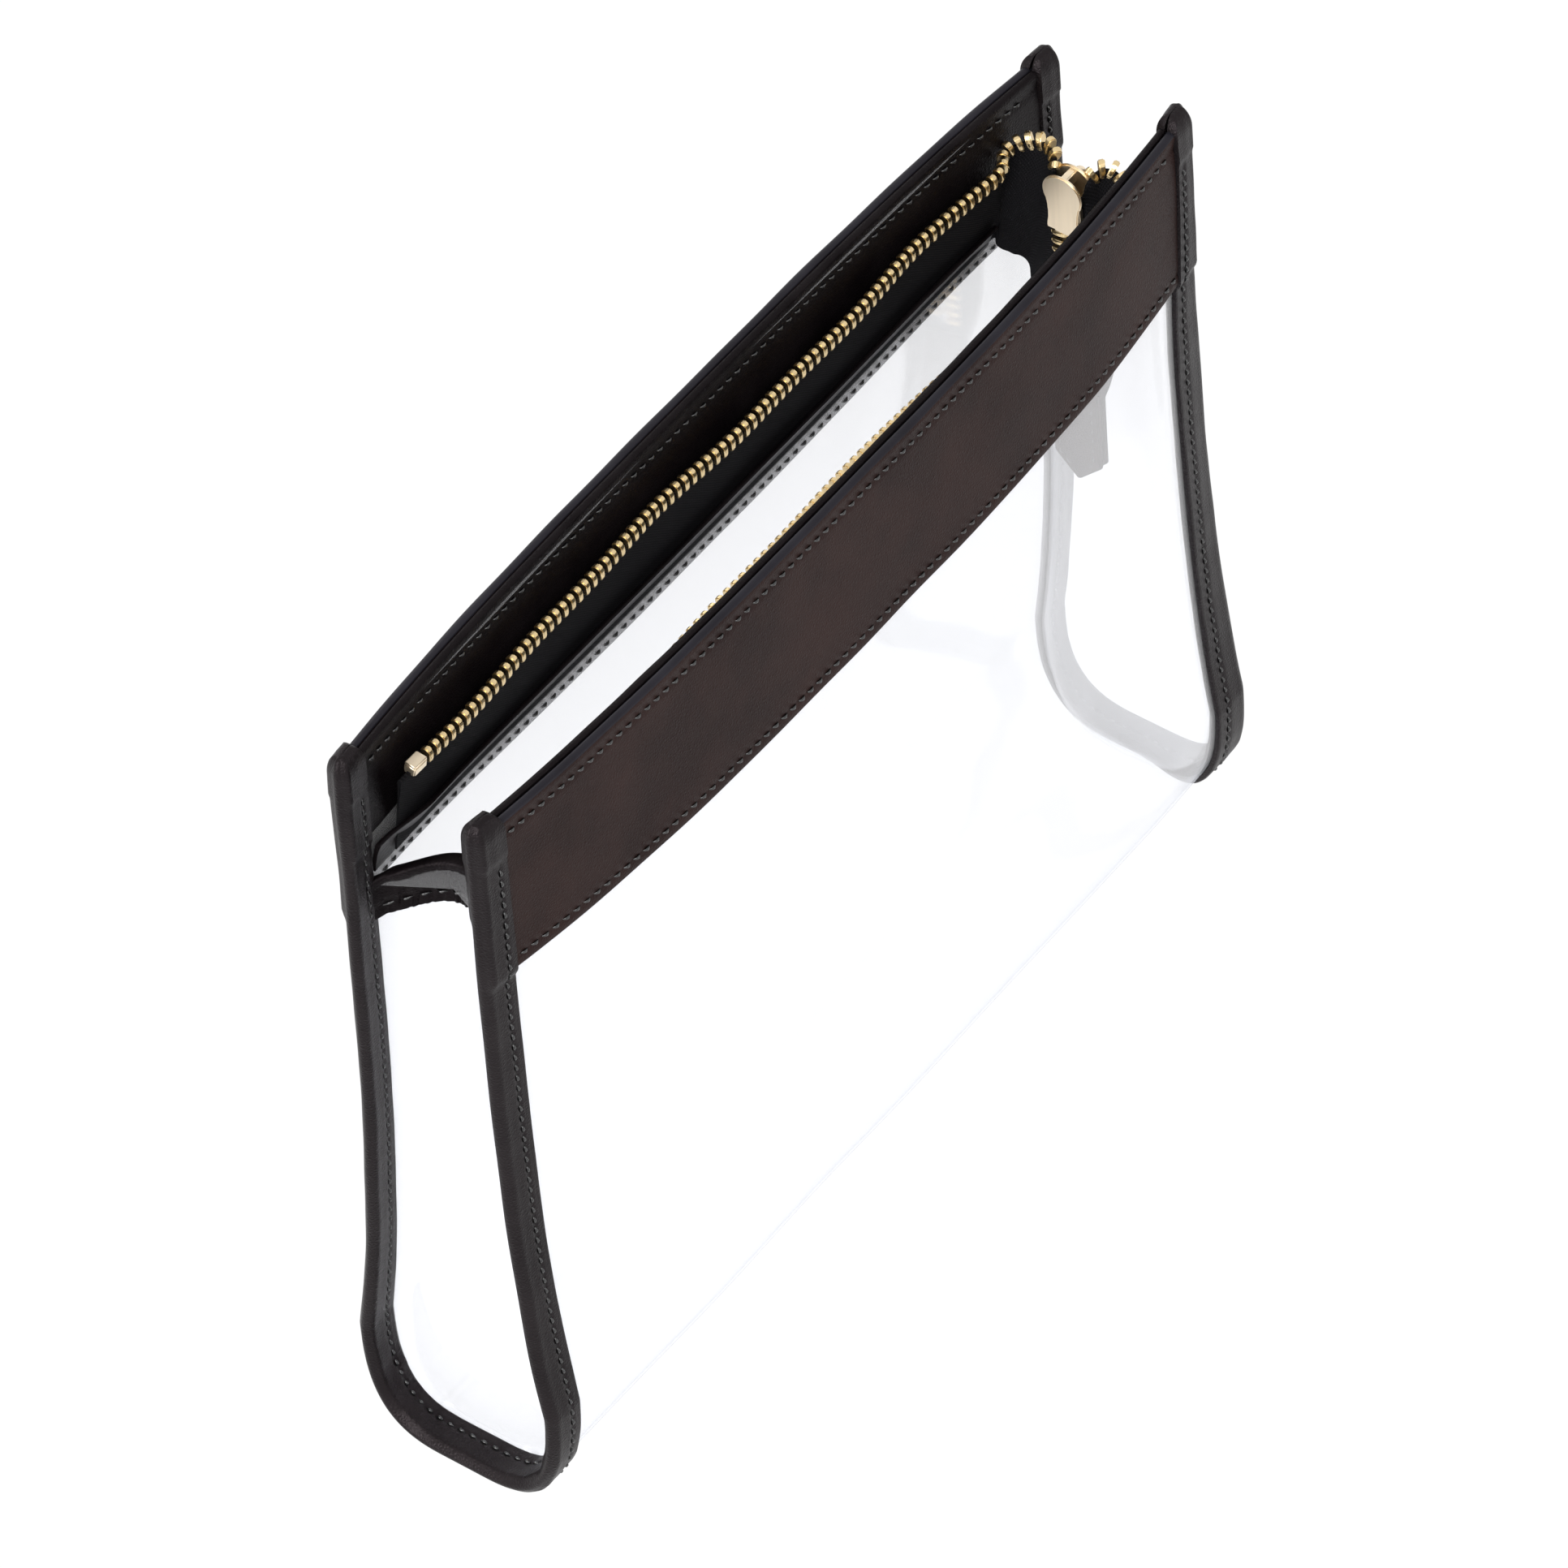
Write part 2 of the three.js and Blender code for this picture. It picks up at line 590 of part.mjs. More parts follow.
// A flat tab with a window, closed at the top by the round bar that turns under the bridge.
function pullTab() {
  const half = PULL.width / 2;
  const edge = half - PULL.leg;
  const foot = PULL_Z + PULL.bar / 2 - PULL.length;
  const sill = PULL_Z - PULL.bar / 2 - PULL.window;
  const shape = new THREE.Shape();
  shape.moveTo(-half, PULL_Z);
  shape.lineTo(-half, foot + half);
  shape.absarc(0, foot + half, half, Math.PI, 2 * Math.PI, false);
  shape.lineTo(half, PULL_Z);
  shape.lineTo(edge, PULL_Z);
  shape.lineTo(edge, sill);
  shape.lineTo(-edge, sill);
  shape.lineTo(-edge, PULL_Z);
  const plate = PULL.thickness / 2;
  const bar = new THREE.CylinderGeometry(PULL.bar / 2, PULL.bar / 2, PULL.width, BAR_SIDES);
  bar.translate(PULL_X, 0, PULL_Z);
  return joinSolids([standing(shape, PULL_X - TAIL_X - plate, PULL_X - TAIL_X + plate), closed(bar)]);
}

// One leaf of the pointed leather tab that closes the tail.
function tailTabLeaf(face) {
  const half = TAIL_TAB.width / 2;
  const foot = TAIL_TAB_TOP - TAIL_TAB.length;
  const shape = new THREE.Shape();
  shape.moveTo(-half, TAIL_TAB_TOP);
  shape.lineTo(-half, foot + TAIL_TAB.point);
  shape.lineTo(0, foot);
  shape.lineTo(half, foot + TAIL_TAB.point);
  shape.lineTo(half, TAIL_TAB_TOP);
  const near = TAPE / 2 + GAP;
  const far = near + TAIL_TAB.thickness;
  return face > 0 ? standing(shape, near, far) : standing(shape, -far, -near);
}

// ---- assembly ----------------------------------------------------------------------------

const bag = new THREE.Group();

function add(name, geometry, material) {
  const mesh = new THREE.Mesh(geometry, material);
  mesh.name = name;
  bag.add(mesh);
}

add('body_sheet', bodySheet(), VINYL);
for (const [word, end] of [['left', -1], ['right', 1]]) {
  add(`gusset_${word}`, gusset(end), VINYL);
  add(`gusset_cap_${word}`, gussetCap(end), BLACK_LEATHER);
  add(`binding_${word}`, binding(end), BLACK_LEATHER);
}
for (const [word, side] of [['front', -1], ['back', 1]]) {
  add(`outer_band_${word}`, outerBand(side), BROWN_LEATHER);
  add(`inner_facing_${word}`, innerFacing(side), BLACK_LEATHER);
  add(`tape_cover_${word}`, tapeCover(side), BLACK_LEATHER);
  add(`zipper_tape_${word}`, zipperTape(side), WOVEN);
  add(`zipper_chain_${word}`, zipperChain(side), BRASS);
  add(`zipper_stop_${word}`, zipperStop(side), BRASS);
}
add('slider', slider(), BRASS);
add('pull_tab', pullTab(), BRASS);
add('tail_tab_inner', tailTabLeaf(-1), BLACK_LEATHER);
add('tail_tab_outer', tailTabLeaf(1), BLACK_LEATHER);

export default bag;
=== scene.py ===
"""A clear makeup bag with its mouth open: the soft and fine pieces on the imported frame."""
import math
import bmesh
import bpy
import numpy as np
from mathutils import Matrix, Vector


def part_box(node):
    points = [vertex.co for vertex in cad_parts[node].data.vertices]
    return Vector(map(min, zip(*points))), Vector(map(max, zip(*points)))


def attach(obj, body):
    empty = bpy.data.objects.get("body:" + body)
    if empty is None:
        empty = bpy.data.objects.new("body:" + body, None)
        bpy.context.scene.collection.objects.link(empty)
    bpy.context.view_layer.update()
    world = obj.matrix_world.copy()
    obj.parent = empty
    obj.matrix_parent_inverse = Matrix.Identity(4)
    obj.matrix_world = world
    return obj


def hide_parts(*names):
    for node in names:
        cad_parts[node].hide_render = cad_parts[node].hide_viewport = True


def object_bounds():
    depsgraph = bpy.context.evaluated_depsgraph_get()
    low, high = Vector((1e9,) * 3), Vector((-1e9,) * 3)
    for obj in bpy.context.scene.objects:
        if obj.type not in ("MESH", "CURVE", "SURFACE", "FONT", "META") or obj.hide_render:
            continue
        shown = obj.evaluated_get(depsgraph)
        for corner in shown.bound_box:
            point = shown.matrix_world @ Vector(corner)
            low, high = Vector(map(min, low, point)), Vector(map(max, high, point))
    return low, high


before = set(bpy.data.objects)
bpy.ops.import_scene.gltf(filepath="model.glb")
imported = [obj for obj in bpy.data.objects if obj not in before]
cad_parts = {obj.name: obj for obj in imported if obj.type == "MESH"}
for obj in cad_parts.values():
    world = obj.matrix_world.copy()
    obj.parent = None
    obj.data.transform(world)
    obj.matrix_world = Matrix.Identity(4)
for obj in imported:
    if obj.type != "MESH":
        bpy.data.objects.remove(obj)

CAD_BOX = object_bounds()
MM = 0.001

# ---- sizes, in millimetres, as the frame has them -------------------------------------------

BASE_SPREAD = 0.026             # the base is longer than the mouth by this share
LENGTH = (CAD_BOX[1][0] - CAD_BOX[0][0]) / MM / (1 + BASE_SPREAD)
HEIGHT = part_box("outer_band_front")[1][2] / MM
MOUTH_DEPTH = 33
BASE_DEPTH = 48
CORNER_HEIGHT = 28
CORNER_REACH = 19.4
CORNER_ROUNDNESS = 2.8
TAPER_POWER = 3.8
MOUTH_BOW = 4.5
FRONT_BELLY = 7
BACK_BELLY = -5
BACK_FADE = 3
BOW_POWER = 3

SHEET = 0.5
LEATHER = 1.3
GAP = 0.3
UNDER = 0.65                    # first free distance off the sheet's middle
FLOOR = UNDER + LEATHER
RISE = HEIGHT - FLOOR
BINDING_WIDTH = 10
BAND_HEIGHT = 42
FACING = 1.0
FACING_HEIGHT = 24
STITCH = 3.0                    # from one stitch to the next
TOOTH_PITCH = 2.5


# ---- the bag's surface ----------------------------------------------------------------------

def end_half(height):
    up = (height - CORNER_HEIGHT) / (RISE - CORNER_HEIGHT)
    flare = np.maximum(1 - up, 0) ** TAPER_POWER
    return MOUTH_DEPTH / 2 + (BASE_DEPTH - MOUTH_DEPTH) / 2 * flare


def half_section():
    """Depth and height of an end's outline, from the mouth edge down to the middle of the base."""
    heights = np.linspace(RISE, CORNER_HEIGHT, 160)
    angles = np.linspace(0, math.pi / 2, 80)[1:]
    flat = BASE_DEPTH / 2 - CORNER_REACH
    out = flat + CORNER_REACH * np.cos(angles) ** (2 / CORNER_ROUNDNESS)
    up = CORNER_HEIGHT * (1 - np.sin(angles) ** (2 / CORNER_ROUNDNESS))
    base = np.linspace(flat, 0, 12)[1:]
    depths = np.concatenate([end_half(heights), out, base])
    return depths, np.concatenate([heights, up, np.zeros_like(base)])


SECTION_Y, SECTION_Z = half_section()
REACH = np.concatenate([[0], np.cumsum(np.hypot(np.diff(SECTION_Y), np.diff(SECTION_Z)))])
HALF_WALK = REACH[-1]
WALK = 2 * HALF_WALK
SLOPE_Y = np.gradient(SECTION_Y, REACH)
SLOPE_Z = np.gradient(SECTION_Z, REACH)


def swell(side, x, height):
    """Outward swell of a wall: the front one bellies out and the back one sinks in."""
    along = 1 - np.clip(np.abs(2 * x / LENGTH), 0, 1) ** BOW_POWER
    up = np.clip(height / RISE, 0, 1)
    belly = np.where(np.asarray(side) > 0, BACK_BELLY * along ** BACK_FADE, FRONT_BELLY * along)
    return MOUTH_BOW * up * along + belly * np.sin(math.pi * up)


def spread(height):
    return 1 + BASE_SPREAD * np.clip(1 - height / RISE, 0, 1)


def on_sheet(x, out, walk):
    """A place x along the bag and out from the middle of the sheet.

    The walk goes from the back mouth edge, under the base, to the front mouth edge.
    """
    x, out, walk = np.broadcast_arrays(np.asarray(x, float), np.asarray(out, float), np.asarray(walk, float))
    side = np.where(walk <= HALF_WALK, 1.0, -1.0)
    down = np.where(walk <= HALF_WALK, walk, WALK - walk)
    y = np.interp(down, REACH, SECTION_Y) + np.minimum(down, 0) * SLOPE_Y[0]
    z = np.interp(down, REACH, SECTION_Z) + np.minimum(down, 0) * SLOPE_Z[0]
    slope_y = np.interp(down, REACH, SLOPE_Y)
    slope_z = np.interp(down, REACH, SLOPE_Z)
    size = np.hypot(slope_y, slope_z)
    y_out = y - slope_z / size * out + swell(side, x, z)
    z_out = z + slope_y / size * out
    return np.stack([x * spread(z), side * y_out, FLOOR + z_out], axis=-1)


def on_wall(side, x, out, down):
    return on_sheet(x, out, np.asarray(down) if side > 0 else WALK - np.asarray(down))


def ripple(a, b, scale, seed):
    """Smooth irregular waves between about -1 and 1 over a surface measured in millimetres."""
    total = 0
    for i in range(1, 5):
        angle = seed * 1.7 + i * 2.4
        rate = 2 * math.pi / scale * (0.6 + 0.35 * i)
        wave = np.sin(rate * (a * math.cos(angle) + b * math.sin(angle)) + seed * i * 3.1)
        total = total + wave / (1 + 0.5 * i)
    return total / 2


def smooth(value, low, high):
    share = np.clip((value - low) / (high - low), 0, 1)
    return share * share * (3 - 2 * share)


# ---- meshes ---------------------------------------------------------------------------------

def new_object(name, verts, faces, material, uvs=None, sharp=40):
    mesh = bpy.data.meshes.new(name)
    mesh.from_pydata((np.asarray(verts) * MM).tolist(), [], faces)
    mesh.update()
    work = bmesh.new()
    work.from_mesh(mesh)
    bmesh.ops.recalc_face_normals(work, faces=work.faces)
    work.to_mesh(mesh)
    work.free()
    mesh.shade_smooth()
    mesh.set_sharp_from_angle(angle=math.radians(sharp))
    if uvs is not None:
        layer = mesh.uv_layers.new(name="flat")
        for loop in mesh.loops:
            layer.data[loop.index].uv = uvs[loop.vertex_index]
    obj = bpy.data.objects.new(name, mesh)
    bpy.context.collection.objects.link(obj)
    obj.data.materials.append(material)
    return obj


def sweep(name, loop, stations, place, material, uv=None, sharp=40):
    """A closed outline drawn along stations; place turns (a, b, station) into a point."""
    loop = np.asarray(loop, float)
    count = len(loop)
    a, b = loop[:, 0], loop[:, 1]
    rows = [place(a, b, station) for station in stations]
    verts = np.concatenate(rows)
    faces = []
    for i in range(len(stations) - 1):
        for j in range(count):
            k = (j + 1) % count
            faces.append((i * count + j, i * count + k, (i + 1) * count + k, (i + 1) * count + j))
    uvs = None
    if uv is not None:
        uvs = [uv(a[j], b[j], station) for station in stations for j in range(count)]
    for first, row in ((0, rows[0]), ((len(stations) - 1) * count, rows[-1])):
        verts = np.concatenate([verts, row.mean(axis=0)[None]])
        centre = len(verts) - 1
        for j in range(count):
            faces.append((first + j, first + (j + 1) % count, centre))
        if uvs is not None:
            uvs.append(uvs[first])
    return new_object(name, verts, faces, material, uvs, sharp)


EDGE_STEPS = 7                  # points round a slab's edge, its two corners included


def slab_loop(a0, a1, b0, b1, radius, step):
    """A thin rectangle's outline with rounded edges at a0 and a1, cut every step along a."""
    inner = np.linspace(a0 + radius, a1 - radius, max(int((a1 - a0) / step), 2))
    points = [(a, b1) for a in inner]
    middle = (b0 + b1) / 2
    half = (b1 - b0) / 2
    for angle in np.linspace(90, -90, EDGE_STEPS)[1:-1]:
        turn = math.radians(angle)
        points.append((a1 - radius + radius * math.cos(turn), middle + half * math.sin(turn)))
    points += [(a, b0) for a in inner[::-1]]
    for angle in np.linspace(-90, 90, EDGE_STEPS)[1:-1]:
        turn = math.radians(angle)
        points.append((a0 + radius - radius * math.cos(turn), middle + half * math.sin(turn)))
    return points


STITCH_START = 0.14             # gap before a stitch, as a share of the pitch
STITCH_SHARE = 0.64             # length of a stitch, as a share of the pitch
STITCH_RISE = 0.42              # height of a stitch's middle over its ends
STITCH_SINK = 0.2               # depth of its ends in the leather


def thread(name, length, at, material, pitch=STITCH, radius=0.36, body="bag"):
    """A row of stitches along a seam: at(distance, lift) is a point lifted off the leather."""
    verts, faces = [], []
    sides, steps = 6, 6
    for index in range(int(length / pitch)):
        start = (index + STITCH_START) * pitch
        reach = pitch * STITCH_SHARE
        spots = []
        for i in range(steps + 1):
            lift = STITCH_RISE * math.sin(math.pi * i / steps) - STITCH_SINK
            spots.append(at(start + reach * i / steps, lift))
        for i, spot in enumerate(spots):
            before, after = spots[max(i - 1, 0)], spots[min(i + 1, steps)]
            along = (after - before) / np.linalg.norm(after - before)
            up = at(start + reach * i / steps, 1.0) - at(start + reach * i / steps, 0.0)
            up = up / np.linalg.norm(up)
            across = np.cross(along, up)
            size = radius * (0.55 + 0.45 * math.sin(math.pi * i / steps))
            for k in range(sides):
                angle = 2 * math.pi * k / sides
                verts.append(spot + size * (math.cos(angle) * across * 1.15 + math.sin(angle) * up))
        base = len(verts) - (steps + 1) * sides
        for i in range(steps):
            low, high = base + i * sides, base + (i + 1) * sides
            for k in range(sides):
                n = (k + 1) % sides
                faces.append((low + k, low + n, high + n, high + k))
        faces.append(tuple(base + k for k in range(sides)))
        faces.append(tuple(base + steps * sides + k for k in range(sides)))
    piece = new_object(name, np.array(verts), faces, material, sharp=80)
    finish_piece(piece, body)
    return piece


def finish_piece(piece, body="bag", replaces=()):
    """Puts a piece on its body and hides the nodes that it stands for."""
    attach(piece, body)
    if replaces:
        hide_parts(*replaces)


# ---- materials ------------------------------------------------------------------------------

def new_material(name):
    material = bpy.data.materials.new(name)
    material.use_nodes = True
    nodes = material.node_tree.nodes
    return material, nodes, material.node_tree.links, nodes["Principled BSDF"]


def noise(nodes, links, vector, scale, detail=2.0, roughness=0.5):
    node = nodes.new("ShaderNodeTexNoise")
    node.inputs["Scale"].default_value = scale
    node.inputs["Detail"].default_value = detail
    node.inputs["Roughness"].default_value = roughness
    links.new(vector, node.inputs["Vector"])
    return node.outputs["Fac"]


def ramp(nodes, links, value, low, high, dark, light):
    node = nodes.new("ShaderNodeValToRGB")
    node.color_ramp.elements[0].position = low
    node.color_ramp.elements[1].position = high
    node.color_ramp.elements[0].color = (*dark, 1)
    node.color_ramp.elements[1].color = (*light, 1)
    links.new(value, node.inputs["Fac"])
    return node.outputs["Color"]


def remap(nodes, links, value, low, high):
    node = nodes.new("ShaderNodeMapRange")
    node.inputs["To Min"].default_value = low
    node.inputs["To Max"].default_value = high
    links.new(value, node.inputs["Value"])
    return node.outputs["Result"]


def bump(nodes, links, height, strength, distance, under=None):
    node = nodes.new("ShaderNodeBump")
    node.inputs["Strength"].default_value = strength
    node.inputs["Distance"].default_value = distance
    links.new(height, node.inputs["Height"])
    if under is not None:
        links.new(under, node.inputs["Normal"])
    return node.outputs["Normal"]


def leather(name, dark, light, rough, grain_scale, grain_depth, crease=0.3, shine=0.16):
    material, nodes, links, shader = new_material(name)
    place = nodes.new("ShaderNodeTexCoord").outputs["Object"]
    cells = nodes.new("ShaderNodeTexVoronoi")
    cells.feature = "DISTANCE_TO_EDGE"
    cells.inputs["Scale"].default_value = grain_scale
    warp = nodes.new("ShaderNodeVectorMath")
    warp.operation = "MULTIPLY_ADD"
    warp.inputs[1].default_value = (0.0006, 0.0006, 0.0006)
    jitter = nodes.new("ShaderNodeTexNoise")
    jitter.inputs["Scale"].default_value = grain_scale * 0.7
    links.new(place, jitter.inputs["Vector"])
    links.new(jitter.outputs["Color"], warp.inputs[0])
    links.new(place, warp.inputs[2])
    links.new(warp.outputs["Vector"], cells.inputs["Vector"])
    pebble = remap(nodes, links, cells.outputs["Distance"], 0.0, 3.0)
    fine = noise(nodes, links, place, grain_scale * 2.2, 3.0)
    broad = noise(nodes, links, place, 55.0, 4.0, 0.6)
    colour = ramp(nodes, links, broad, 0.35, 0.68, dark, light)
    links.new(colour, shader.inputs["Base Color"])
    links.new(remap(nodes, links, broad, rough - 0.07, rough + 0.08), shader.inputs["Roughness"])
    soft = bump(nodes, links, broad, crease, 0.0012)
    grain = bump(nodes, links, pebble, grain_depth, 0.00012, soft)
    links.new(bump(nodes, links, fine, grain_depth * 0.6, 0.00008, grain), shader.inputs["Normal"])
    shader.inputs["Specular IOR Level"].default_value = shine
    shader.inputs["Specular Tint"].default_value = (1.0, 0.86, 0.9, 1)
    return material


def clear_vinyl(name, veil):
    """A thin clear film: it passes light straight through and mirrors more of it at a slant."""
    material, nodes, links, shader = new_material(name)
    place = nodes.new("ShaderNodeTexCoord").outputs["Object"]
    nodes.remove(shader)
    film = nodes.new("ShaderNodeBsdfTransparent")
    film.inputs["Color"].default_value = (0.985, 0.988, 0.997, 1)
    mirror = nodes.new("ShaderNodeBsdfGlossy")
    mirror.inputs["Color"].default_value = (0.99, 0.99, 1.0, 1)
    mirror.inputs["Roughness"].default_value = 0.06
    waves = noise(nodes, links, place, 18.0, 2.0)
    links.new(bump(nodes, links, waves, 0.2, 0.003), mirror.inputs["Normal"])
    haze = nodes.new("ShaderNodeBsdfDiffuse")
    surface = nodes.new("ShaderNodeMixShader")
    surface.inputs["Fac"].default_value = 0.62
    links.new(mirror.outputs["BSDF"], surface.inputs[1])
    links.new(haze.outputs["BSDF"], surface.inputs[2])
    slant = nodes.new("ShaderNodeLayerWeight")
    slant.inputs["Blend"].default_value = 0.5
    share = remap(nodes, links, slant.outputs["Facing"], 0.03, veil)
    # The haze is painted darker and bluer towards grazing view angles: painted shade along the film's slanted
    # parts and silhouettes.
    clear, grazing_shade = (0.97, 0.97, 0.98), (0.72, 0.75, 0.82)
    links.new(ramp(nodes, links, slant.outputs["Facing"], 0.72, 1.0, clear, grazing_shade), haze.inputs["Color"])
    mix = nodes.new("ShaderNodeMixShader")
    links.new(share, mix.inputs["Fac"])
    links.new(film.outputs["BSDF"], mix.inputs[1])
    links.new(surface.outputs["Shader"], mix.inputs[2])
    links.new(mix.outputs["Shader"], nodes["Material Output"].inputs["Surface"])
    return material


def woven_tape():
    material, nodes, links, shader = new_material("woven_tape")
    place = nodes.new("ShaderNodeUVMap")
    place.uv_map = "flat"
    slanted = []
    for turn in (0.9, -0.9):
        mapping = nodes.new("ShaderNodeMapping")
        mapping.inputs["Rotation"].default_value[2] = turn
        links.new(place.outputs["UV"], mapping.inputs["Vector"])
        wave = nodes.new("ShaderNodeTexWave")
        wave.inputs["Scale"].default_value = 0.55
        wave.inputs["Distortion"].default_value = 0.3
        links.new(mapping.outputs["Vector"], wave.inputs["Vector"])
        slanted.append(wave.outputs["Fac"])
    rib = nodes.new("ShaderNodeMath")
    rib.operation = "MAXIMUM"
    links.new(slanted[0], rib.inputs[0])
    links.new(slanted[1], rib.inputs[1])
    dark, light = (0.002, 0.002, 0.0025), (0.008, 0.0075, 0.009)
    links.new(ramp(nodes, links, rib.outputs[0], 0.2, 1.0, dark, light), shader.inputs["Base Color"])
    links.new(bump(nodes, links, rib.outputs[0], 0.6, 0.0002), shader.inputs["Normal"])
    shader.inputs["Roughness"].default_value = 0.8
    shader.inputs["Specular IOR Level"].default_value = 0.1
    return material


def brass(name, colour, rough, brushed):
    material, nodes, links, shader = new_material(name)
    place = nodes.new("ShaderNodeTexCoord").outputs["Object"]
    mapping = nodes.new("ShaderNodeMapping")
    mapping.inputs["Scale"].default_value = (1.0, 1.0, 0.05) if brushed else (1.0, 1.0, 1.0)
    links.new(place, mapping.inputs["Vector"])
    streaks = noise(nodes, links, mapping.outputs["Vector"], 2600.0 if brushed else 900.0, 3.0)
    stain = noise(nodes, links, mapping.outputs["Vector"], 350.0, 3.0)
    dark = tuple(0.86 * value for value in colour)
    links.new(ramp(nodes, links, stain, 0.3, 0.6, dark, colour), shader.inputs["Base Color"])
    links.new(remap(nodes, links, streaks, rough - 0.08, rough + 0.12), shader.inputs["Roughness"])
    links.new(bump(nodes, links, streaks, 0.25 if brushed else 0.12, 0.00005), shader.inputs["Normal"])
    shader.inputs["Metallic"].default_value = 1.0
    return material


def plain_thread():
    material, nodes, links, shader = new_material("stitching_thread")
    place = nodes.new("ShaderNodeTexCoord").outputs["Object"]
    twist = noise(nodes, links, place, 1500.0, 2.0)
    dark, light = (0.002, 0.002, 0.0022), (0.008, 0.008, 0.0085)
    links.new(ramp(nodes, links, twist, 0.3, 0.7, dark, light), shader.inputs["Base Color"])
    links.new(bump(nodes, links, twist, 0.5, 0.0001), shader.inputs["Normal"])
    shader.inputs["Roughness"].default_value = 0.22
    shader.inputs["Specular IOR Level"].default_value = 0.8
    return material


BROWN = leather("brown_leather", (0.015, 0.0078, 0.007), (0.027, 0.0145, 0.0128), 0.42, 1500, 0.5, 0.12, 0.07)
BLACK = leather("black_leather", (0.004, 0.003, 0.0035), (0.009, 0.0072, 0.0078), 0.36, 1300, 0.4, 0.25)
# The inner leather is a darker, less glossy copy of the black leather for the cap strips, facings and tape
# covers: painted shade of the bag's inside.
INNER_SHADED = leather("inner_leather_shaded", (0.003, 0.0022, 0.0026), (0.007, 0.0055, 0.006), 0.34, 1300, 0.4, 0.25, 0.07)
EDGE = leather("edge_paint", (0.008, 0.008, 0.011), (0.014, 0.014, 0.019), 0.3, 900, 0.1, 0.15)
VINYL = clear_vinyl("clear_vinyl", 0.42)
GUSSET_VINYL = clear_vinyl("gusset_vinyl", 0.42)
TAPE = woven_tape()
TEETH = brass("zip_teeth", (0.80, 0.62, 0.34), 0.28, False)
PLATE = brass("brushed_slider", (0.92, 0.78, 0.58), 0.34, True)
THREAD = plain_thread()


# ---- sheet and gussets ----------------------------------------------------------------------

def build_sheet():
    reach = LENGTH / 2 - LEATHER - 0.6
    loop = slab_loop(-reach, reach, -SHEET / 2, SHEET / 2, 0.2, 5)
    edge = 2.0

    def place(x, out, walk):
        soft = smooth(walk, 45, 75) * smooth(WALK - walk, 45, 75) * smooth(reach - np.abs(x), 10, 30)
        return on_sheet(x, out + 0.35 * soft * ripple(x, walk, 90, 3), walk)

    sheet = sweep("vinyl_sheet", loop, np.linspace(edge, WALK - edge, 150), place, VINYL)
    finish_piece(sheet, replaces=["body_sheet"])


GUSSET_DROP = 37
GUSSET_PLANE = LENGTH / 2 - BINDING_WIDTH - UNDER
GUSSET_FOLD = 10
GUSSET_PUSH = 5
GUSSET_TUCK = 2.6                # how far a gusset's side edges reach in under the binding


def on_gusset(end, out, share, down):
    depth = np.interp(down, REACH, SECTION_Y) + np.interp(down, REACH, SLOPE_Z) * UNDER
    height = np.interp(down, REACH, SECTION_Z) + np.abs(np.interp(down, REACH, SLOPE_Y)) * UNDER
    start = FLOOR + GAP
    up = np.clip((height - start) / (RISE - start), 0, 1)
    across = (1 - share * share) ** 2
    if end < 0:
        bow = -GUSSET_FOLD * across * up ** 1.2
    else:
        bow = GUSSET_PUSH * across * np.sin(math.pi * up ** 0.6 * 0.9)
    x = GUSSET_PLANE + bow + out + GUSSET_TUCK * smooth(np.abs(share), 0.84, 1.0)
    depth = depth + swell(share, x, height) * np.abs(share) ** 4
    share, depth, height, x = np.broadcast_arrays(share, depth, height, x)
    return np.stack([end * x * spread(height), share * depth, FLOOR + height], axis=-1)


def build_gusset(end, word):
    last = HALF_WALK - (BASE_DEPTH / 2 - CORNER_REACH)
    loop = slab_loop(-1, 1, -SHEET / 2, SHEET / 2, 0.004, 0.06)
    top = GUSSET_DROP + 1.6

    def place(share, out, down):
        rise = GUSSET_DROP - cap_top(end, share)
        return on_gusset(end, out, share, down - rise * (last - down) / (last - top))

    gusset = sweep(f"vinyl_gusset_{word}", loop, np.linspace(top, last, 80), place, GUSSET_VINYL)
    finish_piece(gusset, replaces=[f"gusset_{word}"])


def cap_top(end, share):
    """Mouth edge down to a cap's upper edge: the left one rises where it folds inwards."""
    return GUSSET_DROP - (5.5 * (1 - share * share) if end < 0 else 0)


CAP_HALF = 16.0                 # half of a cap's length
CAP_SEAM = 8.2                  # a cap's fold to its seam


def build_cap(end, word):
    """The leather strip folded over a gusset's top edge, gathered by its seam."""
    height = 11.0
    outer, inner = UNDER + 1.0, SHEET / 2 + 0.1
    down = np.linspace(1.2, height, 10)
    loop = [(d, outer) for d in down] + [(height, inner)] + [(2.0, inner), (2.0, -inner), (height, -inner)]
    loop += [(d, -outer) for d in down[::-1]]
    loop += [(1.2 - 1.2 * math.sin(a), -outer * math.cos(a)) for a in np.linspace(0, math.pi, 9)[1:-1]]

    def place(down, out, share):
        gather = ripple(share * CAP_HALF * 3.0, down * 0.35, 5.5, 5) * 0.45
        seam = 0.5 * np.exp(-((down - CAP_SEAM) / 0.7) ** 2) + 0.25 * np.exp(-((down - 2.6) / 0.8) ** 2)
        swollen = out + np.sign(out) * (gather * smooth(down, 1, 4) + 0.35 - seam)
        return on_gusset(end, swollen, np.full_like(down, share), cap_top(end, share) + down)

    cap = sweep(f"cap_strip_{word}", loop, np.linspace(-1, 1, 90), place, INNER_SHADED)
    finish_piece(cap, replaces=[f"gusset_cap_{word}"])
    for face, label in ((1, "out"), (-1, "in")):
        def seam(s, lift, face=face):
            share = s / CAP_HALF - 0.94
            down = cap_top(end, share) + CAP_SEAM
            return on_gusset(end, face * (UNDER + 1.15 + lift), np.array(share), np.array(down))

        thread(f"stitches_cap_{word}_{label}", 30, seam, THREAD)


# ---- bindings -------------------------------------------------------------------------------

